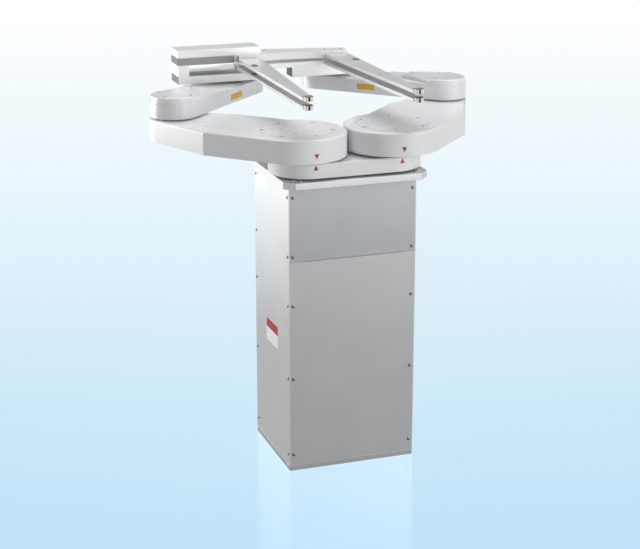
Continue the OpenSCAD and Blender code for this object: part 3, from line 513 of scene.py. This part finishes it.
def lathe(bm, profile, centre, turn=None, segments=40):
    # closed profile of (radius, height) pairs turned about the local Z at centre
    matrix = Matrix.Translation(centre) @ (turn or Matrix.Identity(4))
    turns = [2 * math.pi * i / segments for i in range(segments)]
    rings = []
    for radius, height in profile:
        # a point on the axis is a ring of one
        rings.append([bm.verts.new(matrix @ Vector((radius * math.cos(a), radius * math.sin(a), height)))
                      for a in (turns if radius else turns[:1])])
    for one, two in zip(rings, rings[1:]):
        for i in range(segments):
            j = (i + 1) % segments
            if len(one) == 1 and len(two) == 1:
                continue
            if len(one) == 1:
                bm.faces.new((one[0], two[i], two[j]))
            elif len(two) == 1:
                bm.faces.new((one[i], one[j], two[0]))
            else:
                bm.faces.new((one[i], one[j], two[j], two[i]))


screwHead = {
    # shares of the radius and of the height, and the deepest socket
    "rimHeight": 0.6, "faceRadius": 0.86, "socketRadius": 0.5, "socketTaper": 0.9, "socketShare": 0.7,
    "socketDeep": 0.0008, "segments": 24,
}


def addScrew(bm, centre, radius, height, turn=None, sunk=0.0005):
    # a socket head: chamfered rim and a round socket
    values = screwHead
    socket = radius * values["socketRadius"]
    foot = height - min(values["socketDeep"], height * values["socketShare"])
    lathe(bm, [(0, -sunk), (radius, -sunk), (radius, height * values["rimHeight"]),
               (radius * values["faceRadius"], height), (socket, height),
               (socket * values["socketTaper"], foot), (0, foot)], centre, turn, values["segments"])


indexMarks = {
    "width": 0.0113, "height": 0.0112, "thickness": 0.0003,
    "linkTop": 0.7506, "waistFoot": 0.7085,
    "linkAngles": (-85.8, -96.8), "waistAngles": (-92.8, -81.7),
}


def makeIndexMarks():
    # a triangle on each link that points down and one on the waist that points up
    values = indexMarks
    for side, sideName, linkAngle, waistAngle in zip(
            (-1, 1), ("left", "right"), values["linkAngles"], values["waistAngles"]):
        spots = (
            ("Link", sideName + "_link", robot["shoulderX"], robot["linkRadius"], linkAngle,
             values["linkTop"], False),
            ("Waist", "waist", robot["waistHalf"], robot["waistRadius"], waistAngle,
             values["waistFoot"], True))
        for part, body, x, radius, angle, z, up in spots:
            place = roundPlace((side * x, robot["axisY"]), radius, math.radians(angle), z)
            makePlate(sideName + part + "Mark", body, "markRed", place,
                      triangleOutline(values["width"], values["height"], up), thickness=values["thickness"])


armLabels = {
    # along: from where to where on the wall, counted from the elbow
    "left": {"along": (0.167, 0.220), "z": (0.792, 0.805)},
    "right": {"along": (0.154, 0.199), "z": (0.794, 0.807)},
    "corner": 0.0015, "border": 0.0016, "faceCorner": 0.0009, "faceStart": 0.00005, "thickness": 0.00025,
}


def makeArmLabels():
    # on the outer wall of each forearm, which leans a little against the line from elbow to wrist
    for side, sideName in ((-1, "left"), (1, "right")):
        values = armLabels[sideName]
        elbow = Vector((side * robot["elbow"][0], robot["elbow"][1]))
        wrist = Vector((side * robot["wrist"][0], robot["wrist"][1]))
        reach = (wrist - elbow).length
        axis = (wrist - elbow) / reach
        lean = (robot["elbowRadius"] - robot["wristRadius"]) / reach
        square = Vector((axis.y, -axis.x))
        if square.y > 0:
            square = -square
        outward = square * math.sqrt(1 - lean * lean) + axis * lean
        foot = elbow + outward * robot["elbowRadius"]
        along = ((wrist + outward * robot["wristRadius"]) - foot).normalized()
        start, end = values["along"]
        zLow, zHigh = values["z"]
        middle = foot + along * ((start + end) / 2)
        border = armLabels["border"]
        thickness = armLabels["thickness"]
        place, inner = (flatPlace((middle.x, middle.y, z), (along.x, along.y, 0), (outward.x, outward.y, 0))
                        for z in (zLow, zLow + border))
        makePlate(sideName + "ArmLabel", sideName + "_forearm", "labelAmber", place,
                  labelOutline(end - start, zHigh - zLow, armLabels["corner"]), thickness=thickness)
        makePlate(sideName + "ArmLabelFace", sideName + "_forearm", "labelYellow", inner,
                  labelOutline(end - start - 2 * border, zHigh - zLow - 2 * border, armLabels["faceCorner"]),
                  start=armLabels["faceStart"], thickness=thickness)


columnLabel = {
    "x": -0.150, "y": (-0.043, 0.043), "z": (0.266, 0.321), "corner": 0.002, "thickness": 0.00025,
    "barFoot": 0.298, "barInset": 0.0012, "barCorner": 0.0014, "barThickness": 0.00035,
}


def makeColumnLabel():
    values = columnLabel
    yLow, yHigh = values["y"]
    zLow, zHigh = values["z"]
    inset = values["barInset"]
    for name, material, bottom, top, shrink, corner, thickness in (
            ("columnLabel", "labelWhite", zLow, zHigh, 0, values["corner"], values["thickness"]),
            ("columnLabelBar", "markRed", values["barFoot"], zHigh - inset, inset, values["barCorner"],
             values["barThickness"])):
        place = flatPlace((values["x"], (yLow + yHigh) / 2, bottom), (0, 1, 0), (-1, 0, 0))
        makePlate(name, "column", material, place,
                  labelOutline(yHigh - yLow - 2 * shrink, top - bottom, corner), thickness=thickness)


smallScrews = {
    "flange": {"body": "column", "radius": 0.0033, "height": 0.0024,
               "spots": ((-0.142, -0.140, 0.6855), (-0.130, -0.144, 0.6855), (0.138, -0.144, 0.6855),
                         (0.142, -0.140, 0.6855))},
    "bar": {"body": "upper_hand", "radius": 0.0030, "height": 0.0006,
            "spots": ((-0.055, 0.348, 0.884), (0.083, 0.304, 0.884), (0.124, 0.304, 0.884))},
    "upperFinger": {"body": "upper_hand", "radius": 0.0022, "height": 0.0005,
                    "spots": tuple((s * x, 0.012, 0.876) for s in (-1, 1) for x in (0.112, 0.131))},
    "lowerFinger": {"body": "lower_hand", "radius": 0.0022, "height": 0.0005,
                    "spots": tuple((s * x, 0.012, 0.857) for s in (-1, 1) for x in (0.112, 0.131))},
}


def makeSmallScrews():
    for name, values in smallScrews.items():
        bm = bmesh.new()
        for spot in values["spots"]:
            addScrew(bm, Vector(spot), values["radius"], values["height"])
        closeMesh(bm)
        makeObject(name + "Screws", bm, finish["screwSteel"], values["body"])


endScrews = {
    "angleDeg": 191, "radius": 0.0032, "height": 0.0003, "sunk": 0.0015, "linkZ": 0.766, "forearmZ": 0.797,
}


def makeEndScrews():
    # small screws on the outer end of each elbow
    for side, sideName in ((-1, "left"), (1, "right")):
        angle = math.radians(endScrews["angleDeg"] if side < 0 else 180 - endScrews["angleDeg"])
        outward = Vector((math.cos(angle), math.sin(angle), 0))
        turn = outward.to_track_quat("Z", "Y").to_matrix().to_4x4()
        for part, radius, z in (("link", robot["linkEndRadius"], endScrews["linkZ"]),
                                ("forearm", robot["elbowRadius"], endScrews["forearmZ"])):
            bm = bmesh.new()
            spot = Vector((side * robot["elbow"][0], robot["elbow"][1], z)) + outward * radius
            addScrew(bm, spot, endScrews["radius"], endScrews["height"], turn, endScrews["sunk"])
            closeMesh(bm)
            makeObject(sideName + part.capitalize() + "EndScrew", bm, finish["screwSteel"],
                       sideName + "_" + part)


rests = {
    "x": 0.125, "padY": 0.1989, "fingerThick": 0.007,
    "tipY": (-0.1973, -0.1833), "tipWide": 0.018, "notch": (-0.0035, 0.0012), "notchDeep": 0.0095,
    "capThick": 0.0016, "stopHigh": 0.004, "frontCuts": (0.002, 0.003),
    # dark filling of the notch, as painted shade in it: past its sides and its back, then inside its front,
    # foot and top
    "notchShade": (0.0002, 0.0004, 0.0012, 0.0003, 0.0002),
    # rest plate: start, flatness and steps of its round nose, lap behind the block, how far it is sunk
    "nose": (0.004, 0.42, 12), "plateLap": 0.001, "plateSunk": 0.0001,
    # low step behind the block: lap, length, how far sunk, height
    "step": (0.0005, 0.012, 0.0002, 0.0015),
    # plate screws: distance from the middle and from the front, radius, height
    "screws": (0.0045, 0.006, 0.0017, 0.0004),
    # radius and height of the profiles of the round pad and of the boss in it
    "pad": ((0, -0.0003), (0.0090, -0.0003), (0.0090, 0.0010), (0.0085, 0.0015), (0.0062, 0.0015),
            (0.0054, 0.0011), (0, 0.0011)),
    "boss": ((0, 0.0008), (0.0050, 0.0008), (0.0050, 0.0025), (0.0044, 0.0030), (0.0021, 0.0030),
             (0.0018, 0.0019), (0, 0.0019)),
}


def addPrism(bm, outline, zLow, zHigh):
    # an upright prism from a closed outline of (x, y) points
    lowRing = [bm.verts.new((x, y, zLow)) for x, y in outline]
    highRing = [bm.verts.new((x, y, zHigh)) for x, y in outline]
    bm.faces.new(lowRing[::-1])
    bm.faces.new(highRing)
    for i in range(len(outline)):
        j = (i + 1) % len(outline)
        bm.faces.new((lowRing[i], lowRing[j], highRing[j], highRing[i]))


def makeRests(hand, fingerZ):
    values = rests
    top = fingerZ + values["fingerThick"]
    yFront, yBack = values["tipY"]
    half = values["tipWide"] / 2
    notchLow, notchHigh = values["notch"]
    deep = yFront + values["notchDeep"]
    cutLeft, cutRight = values["frontCuts"]
    shadeSide, shadeBack, shadeFront, shadeLow, shadeHigh = values["notchShade"]
    noseY, flatness, noseSteps = values["nose"]
    stepLap, stepLong, stepSunk, stepHigh = values["step"]
    screwX, screwY, screwRadius, screwHigh = values["screws"]
    white, dark, brown, boss = bmesh.new(), bmesh.new(), bmesh.new(), bmesh.new()
    for s in (-1, 1):
        x = s * values["x"]
        blockTop = top + values["stopHigh"] - values["capThick"]
        addPrism(white, [(x - half, yBack), (x - half, yFront + cutLeft), (x - half + cutLeft, yFront),
                         (x + notchLow, yFront), (x + notchLow, deep), (x + notchHigh, deep),
                         (x + notchHigh, yFront), (x + half - cutRight, yFront),
                         (x + half, yFront + cutRight), (x + half, yBack)], fingerZ, blockTop)
        # painted shade: a dark block filling the notch
        addPrism(dark, [(x + notchLow - shadeSide, deep + shadeBack),
                        (x + notchLow - shadeSide, yFront + shadeFront),
                        (x + notchHigh + shadeSide, yFront + shadeFront),
                        (x + notchHigh + shadeSide, deep + shadeBack)],
                 fingerZ + shadeLow, blockTop - shadeHigh)
        # rest plate over the block, with a round nose, and the low step behind it
        nose = [(x + half * math.cos(a), yFront + noseY + half * flatness * math.sin(a))
                for a in [math.pi + math.pi * i / noseSteps for i in range(noseSteps + 1)]]
        lap = yBack + values["plateLap"]
        plateTop = blockTop + values["capThick"]
        addPrism(brown, [(x + half, lap), (x - half, lap)] + nose, blockTop - values["plateSunk"], plateTop)
        stepStart, stepEnd = yBack - stepLap, yBack + stepLong
        addPrism(brown, [(x - half, stepStart), (x + half, stepStart), (x + half, stepEnd),
                         (x - half, stepEnd)], top - stepSunk, top + stepHigh)
        for offset in (-screwX, screwX):
            addScrew(boss, Vector((x + offset, yFront + screwY, plateTop)), screwRadius, screwHigh)
        lathe(brown, values["pad"], Vector((x, values["padY"], top)))
        lathe(boss, values["boss"], Vector((x, values["padY"], top)))
    # softness of the edges is in mm
    for bm, part, material, softness in (
            (white, "RestBlocks", "restWhite", 0.35), (dark, "RestNotchShade", "blackRubberAndShade", 0),
            (brown, "RestPlates", "restBrown", 0.2), (boss, "RestScrews", "bossBrass", 0)):
        closeMesh(bm)
        piece = makeObject(hand + part, bm, finish[material], hand + "_hand",
                           smooth=not softness)
        if softness:
            piece.data.shade_smooth()
            softenEdges(piece, softness, segments=2)
        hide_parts(hand + "_pads")


# dark sheets on the hands' outer end faces, as painted shade
endShadeSheets = {
    # body, x of the face, y range, z range, finish
    "bracketFootEnd": ("upper_hand", -0.280, (0.2998, 0.3628), (0.823, 0.841), "shadeGrey"),
    "bracketHeadEnd": ("upper_hand", -0.280, (0.2998, 0.3628), (0.867, 0.884), "shadeGrey"),
    "lowerBarEnd": ("lower_hand", -0.136, (0.2998, 0.3328), (0.847, 0.859), "darkGreyAndShade"),
    "upperFingerEnd": ("upper_hand", -0.136, (0.2868, 0.3208), (0.8675, 0.8835), "darkGreyAndShade"),
    "lowerBlockEnd": ("lower_hand", 0.0, (0.2998, 0.3418), (0.823, 0.847), "shadeGrey"),
}


endShadeFit = {"margin": 0.0003, "corner": 0.0005, "thickness": 0.00035}
lowerBarScrew = {"place": (-0.1363, 0.3160, 0.853), "radius": 0.0036, "height": 0.0012}


# puts the dark sheets of painted shade on the end faces, and a screw on the lower bar's end
def makeEndShadeSheets():
    margin = endShadeFit["margin"]
    for name, (body, x, (yLow, yHigh), (zLow, zHigh), material) in endShadeSheets.items():
        place = flatPlace((x, (yLow + yHigh) / 2, zLow + margin), (0, 1, 0), (-1, 0, 0))
        makePlate(name, body, material, place,
                  labelOutline(yHigh - yLow - 2 * margin, zHigh - zLow - 2 * margin, endShadeFit["corner"]),
                  thickness=endShadeFit["thickness"])
    bm = bmesh.new()
    turn = Matrix.Rotation(math.radians(-90), 4, "Y")
    addScrew(bm, Vector(lowerBarScrew["place"]), lowerBarScrew["radius"], lowerBarScrew["height"], turn)
    closeMesh(bm)
    makeObject("lowerBarEndScrew", bm, finish["brightScrew"], "lower_hand")


clampBox = {
    # sinkTaper and screwShare are shares of sinkRadius
    "low": (-0.280, 0.2998, 0.884), "high": (-0.078, 0.3628, 0.9015),
    "soften": 0.001, "softSegments": 3, "softProfile": 0.6,
    "screws": ((-0.237, 0.313), (-0.088, 0.309)), "sinkRadius": 0.0034, "sinkDeep": 0.0016,
    "sinkTaper": 0.8, "cutAbove": 0.001, "sinkSegments": 24, "screwShare": 0.72, "screwHigh": 0.0009,
}


def cutAway(obj, cutterMesh):
    # takes the cutter's shape out of obj and applies the cut
    cutter = bpy.data.objects.new("cutter", cutterMesh)
    bpy.context.collection.objects.link(cutter)
    cut = obj.modifiers.new("cut", "BOOLEAN")
    cut.operation = "DIFFERENCE"
    cut.solver = "EXACT"
    cut.object = cutter
    depsgraph = bpy.context.evaluated_depsgraph_get()
    shape = bpy.data.meshes.new_from_object(obj.evaluated_get(depsgraph))
    obj.modifiers.clear()
    obj.data = shape
    bpy.data.objects.remove(cutter)
    bpy.data.meshes.remove(cutterMesh)


def makeClampBox():
    values = clampBox
    bm = bmesh.new()
    addBox(bm, values["low"], values["high"])
    bmesh.ops.bevel(bm, geom=list(bm.edges), offset=values["soften"], segments=values["softSegments"],
                    profile=values["softProfile"], affect="EDGES")
    piece = makeObject("clampBox", bm, finish["handMetal"], "upper_hand")
    cutter = bmesh.new()
    top = values["high"][2]
    radius, deep, above = values["sinkRadius"], values["sinkDeep"], values["cutAbove"]
    for x, y in values["screws"]:
        lathe(cutter, [(0, -deep), (radius * values["sinkTaper"], -deep), (radius, above), (0, above)],
              Vector((x, y, top)), segments=values["sinkSegments"])
    closeMesh(cutter)
    mesh = bpy.data.meshes.new("cutter")
    cutter.to_mesh(mesh)
    cutter.free()
    cutAway(piece, mesh)
    shadeByAngle(piece.data)
    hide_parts("clamp_box")
    screws = bmesh.new()
    for x, y in values["screws"]:
        addScrew(screws, Vector((x, y, top - deep)), radius * values["screwShare"], values["screwHigh"])
    closeMesh(screws)
    makeObject("clampBoxScrews", screws, finish["screwSteel"], "upper_hand")


bracket = {
    "left": -0.280, "wall": 0.026, "front": 0.2998, "rear": 0.3628, "rearCorner": 0.395,
    "right": -0.061, "wrist": (-0.111, 0.3788), "capRadius": 0.050, "arcDeg": 150, "arcSteps": 32,
    "cornerOut": 0.03, "plate": (0.823, 0.841), "top": 0.867, "softenMm": 0.8, "wallSunk": 0.0005,
    "fillet": 0.004, "filletSteps": 6, "ringSunk": 0.0002, "ringSegments": 72,
    # radius and height of the seat ring's profile
    "ring": ((0.0455, 0), (0.0455, 0.0006), (0.0458, 0.0009), (0.0467, 0.0009), (0.0470, 0.0006),
             (0.0470, 0), (0.0455, 0)),
}


def makeBracket():
    # bottom plate round the wrist and the upright wall at its outer end, as one milled piece
    values = bracket
    zLow, zHigh = values["plate"]
    cx, cy = values["wrist"]
    radius = values["capRadius"]
    # the plate's outline runs round the wrist and then straight to the wall's rear corner
    outline = [(values["left"], values["front"]), (values["right"], values["front"])]
    for i in range(values["arcSteps"] + 1):
        a = math.radians(values["arcDeg"] * i / values["arcSteps"])
        outline.append((cx + radius * math.cos(a), cy + radius * math.sin(a)))
    left, right = values["left"], values["left"] + values["wall"]
    outline += [(right + values["cornerOut"], values["rearCorner"]), (right, values["rear"]),
                (left, values["rear"])]
    bm = bmesh.new()
    addPrism(bm, outline, zLow, zHigh)
    closeMesh(bm)
    piece = makeObject("bracketBody", bm, finish["handMetal"], "upper_hand")
    softenEdges(piece, values["softenMm"])
    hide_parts("upper_bracket")
    wall = bmesh.new()
    fillet, steps = values["fillet"], values["filletSteps"]
    foot = zHigh - values["wallSunk"]
    profile = [(left, foot), (right + fillet, foot), (right + fillet, zHigh)]
    for i in range(1, steps + 1):
        a = math.pi * i / (2 * steps)
        profile.append((right + fillet * (1 - math.sin(a)), zHigh + fillet * (1 - math.cos(a))))
    profile += [(right, values["top"]), (left, values["top"])]
    front = [wall.verts.new((x, values["front"], z)) for x, z in profile]
    rear = [wall.verts.new((x, values["rear"], z)) for x, z in profile]
    wall.faces.new(front)
    wall.faces.new(rear[::-1])
    for i in range(len(profile)):
        j = (i + 1) % len(profile)
        wall.faces.new((front[i], rear[i], rear[j], front[j]))
    closeMesh(wall)
    wallPiece = makeObject("bracketWall", wall, finish["handMetal"], "upper_hand")
    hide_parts("upper_bracket")
    ring = bmesh.new()
    lathe(ring, values["ring"], Vector((cx, cy, zHigh - values["ringSunk"])),
          segments=values["ringSegments"])
    closeMesh(ring)
    makeObject("bracketSeatRing", ring, finish["fingerMetal"], "upper_hand")


makeLinkBodies()
makeBracket()
makeIndexMarks()
makeArmLabels()
makeColumnLabel()
makeSmallScrews()
makeEndScrews()
for hand, fingerZ in (("upper", 0.869), ("lower", 0.850)):
    makeRests(hand, fingerZ)
makeEndShadeSheets()
makeClampBox()
print("small pieces made")


stageValues = {
    # floor tint from near to far: distance along tintAlong in metres, then colour
    "floorTint": ((-0.47, (0.513, 0.736, 0.90)), (0.27, (0.58, 0.778, 0.907)), (1.36, (0.71, 0.846, 0.925)),
                  (3.0, (0.816, 0.897, 0.937)), (6.4, (0.94, 0.95, 0.96))),
    "tintAlong": (0.329, 0.944, 0),
    # grey light that the floor gives back to the object, along Y in metres
    "floorBounce": ((-6.0, 1.5), (-3.5, 1.35), (-2.7, 0.7), (-2.2, 0.38), (0.9, 0.38), (2.2, 0.95),
                    (6.0, 1.0)),
    "floorBase": 0.10,
    "floorGain": 1.5,
    "floorRough": 0.12,
    "floorSize": 40,
    # where the floor's gloss starts and stops fading, in metres from the foot's middle, and its levels there
    "floorGloss": {"From Min": 0.25, "From Max": 1.2, "To Min": 0.4, "To Max": 0.08},
    "skyColour": (0.80, 0.91, 0.97),
    "worldColour": (0.97, 0.985, 1.0),
    "worldStrength": 0.15,
    "camera": (-1.22885, -3.43126, 1.57618),
    "tiltDeg": 72.37,
    "panDeg": -19.2,
    "lens": 93.35,
    "sensor": 36,
    "clipEnd": 100,
}

areaLights = {
    # place, what it faces, size, power
    "leftKey": ((-2.1, 1.48, 0.92), (-0.1, 0, 0.78), (1.8, 1.3), 56),
    "rightFill": ((2.8, -3.0, 1.5), (0, 0, 0.6), (3.0, 2.6), 98),
    "topSoft": ((0.2, 0.6, 3.0), (0, 0, 0.8), (2.2, 2.2), 53),
}


def makeFloor():
    values = stageValues
    material = bpy.data.materials.new("paleFloor")
    tree = newTree(material)
    coords = addNode(tree, "ShaderNodeTexCoord", -900, 0)
    split = addNode(tree, "ShaderNodeSeparateXYZ", -700, 0)
    link = tree.links.new
    link(coords.outputs["Object"], split.inputs[0])
    ahead = addNode(tree, "ShaderNodeVectorMath", -700, -200, {1: values["tintAlong"]},
                    operation="DOT_PRODUCT")
    link(coords.outputs["Object"], ahead.inputs[0])
    ramps = []
    bounce = [(y, (v, v, v)) for y, v in values["floorBounce"]]
    for source, height, stops in ((split.outputs["Y"], 150, bounce),
                                  (ahead.outputs["Value"], -150, values["floorTint"])):
        near, far = stops[0][0], stops[-1][0]
        along = addNode(tree, "ShaderNodeMapRange", -500, height, {"From Min": near, "From Max": far})
        ramp = addNode(tree, "ShaderNodeValToRGB", -300, height)
        elements = ramp.color_ramp.elements
        for i, (y, colour) in enumerate(stops):
            stop = elements[i] if i < 2 else elements.new((y - near) / (far - near))
            stop.position = (y - near) / (far - near)
            stop.color = (*[c / values["floorGain"] for c in colour], 1)
        link(source, along.inputs["Value"])
        link(along.outputs["Result"], ramp.inputs["Fac"])
        ramps.append(ramp)
    # the tint is for the camera; the object is lit by a plain grey bounce
    path = addNode(tree, "ShaderNodeLightPath", -300, 400)
    seen = addNode(tree, "ShaderNodeMix", -50, 150, data_type="RGBA")
    shader = addNode(tree, "ShaderNodeBsdfPrincipled", 200, 0,
                     {"Roughness": values["floorRough"], "Emission Strength": values["floorGain"]})
    # the floor mirrors only what stands close to the foot
    reach = addNode(tree, "ShaderNodeVectorMath", -500, -400, operation="LENGTH")
    gloss = addNode(tree, "ShaderNodeMapRange", -300, -400, values["floorGloss"])
    link(coords.outputs["Object"], reach.inputs[0])
    link(reach.outputs["Value"], gloss.inputs["Value"])
    link(gloss.outputs["Result"], shader.inputs["Specular IOR Level"])
    shader.inputs["Base Color"].default_value = (*[values["floorBase"]] * 3, 1)
    output = addNode(tree, "ShaderNodeOutputMaterial", 500, 0)
    link(path.outputs["Is Camera Ray"], seen.inputs["Factor"])
    link(ramps[0].outputs["Color"], seen.inputs["A"])
    link(ramps[1].outputs["Color"], seen.inputs["B"])
    link(seen.outputs["Result"], shader.inputs["Emission Color"])
    link(shader.outputs[0], output.inputs["Surface"])
    bpy.ops.mesh.primitive_plane_add(size=values["floorSize"], location=(0, 0, 0))
    floor = bpy.context.object
    floor.name = "floor"
    floor.data.materials.append(material)
    return floor


def makeSky():
    # dim for lighting the object, pale where the camera sees past the floor
    values = stageValues
    world = bpy.data.worlds.new("paleWorld")
    world.use_nodes = True
    tree = world.node_tree
    tree.nodes.clear()
    path = addNode(tree, "ShaderNodeLightPath", -500, 200)
    dim = addNode(tree, "ShaderNodeBackground", -250, 0, {"Strength": values["worldStrength"]})
    dim.inputs["Color"].default_value = (*values["worldColour"], 1)
    pale = addNode(tree, "ShaderNodeBackground", -250, -150)
    pale.inputs["Color"].default_value = (*values["skyColour"], 1)
    mix = addNode(tree, "ShaderNodeMixShader", 0, 0)
    output = addNode(tree, "ShaderNodeOutputWorld", 200, 0)
    link = tree.links.new
    link(path.outputs["Is Camera Ray"], mix.inputs[0])
    link(dim.outputs[0], mix.inputs[1])
    link(pale.outputs[0], mix.inputs[2])
    link(mix.outputs[0], output.inputs["Surface"])
    bpy.context.scene.world = world


def addArea(name, place, target, size, power, spared):
    light = bpy.data.lights.new(name, "AREA")
    light.shape = "RECTANGLE"
    light.size, light.size_y = size
    light.energy = power
    obj = bpy.data.objects.new(name, light)
    obj.location = place
    obj.rotation_euler = (Vector(target) - Vector(place)).to_track_quat("-Z", "Y").to_euler()
    bpy.context.collection.objects.link(obj)
    obj.light_linking.receiver_collection = spared


def makeStage():
    makeSky()
    floor = makeFloor()
    # the floor shines by itself, so the lights leave it out and put no glare on it
    spared = bpy.data.collections.new("unlit")
    spared.objects.link(floor)
    spared.collection_objects[0].light_linking.link_state = "EXCLUDE"
    for name, values in areaLights.items():
        addArea(name, *values, spared)
    cameraData = bpy.data.cameras.new("camera")
    cameraData.lens = stageValues["lens"]
    cameraData.sensor_width = stageValues["sensor"]
    cameraData.clip_end = stageValues["clipEnd"]
    camera = bpy.data.objects.new("camera", cameraData)
    camera.location = stageValues["camera"]
    tilt, pan = math.radians(stageValues["tiltDeg"]), math.radians(stageValues["panDeg"])
    camera.rotation_euler = (tilt, 0, pan)
    bpy.context.collection.objects.link(camera)
    bpy.context.scene.camera = camera
    bpy.context.scene.view_settings.view_transform = "Standard"
    bpy.context.scene.view_settings.look = "None"


makeStage()
print("stage set")
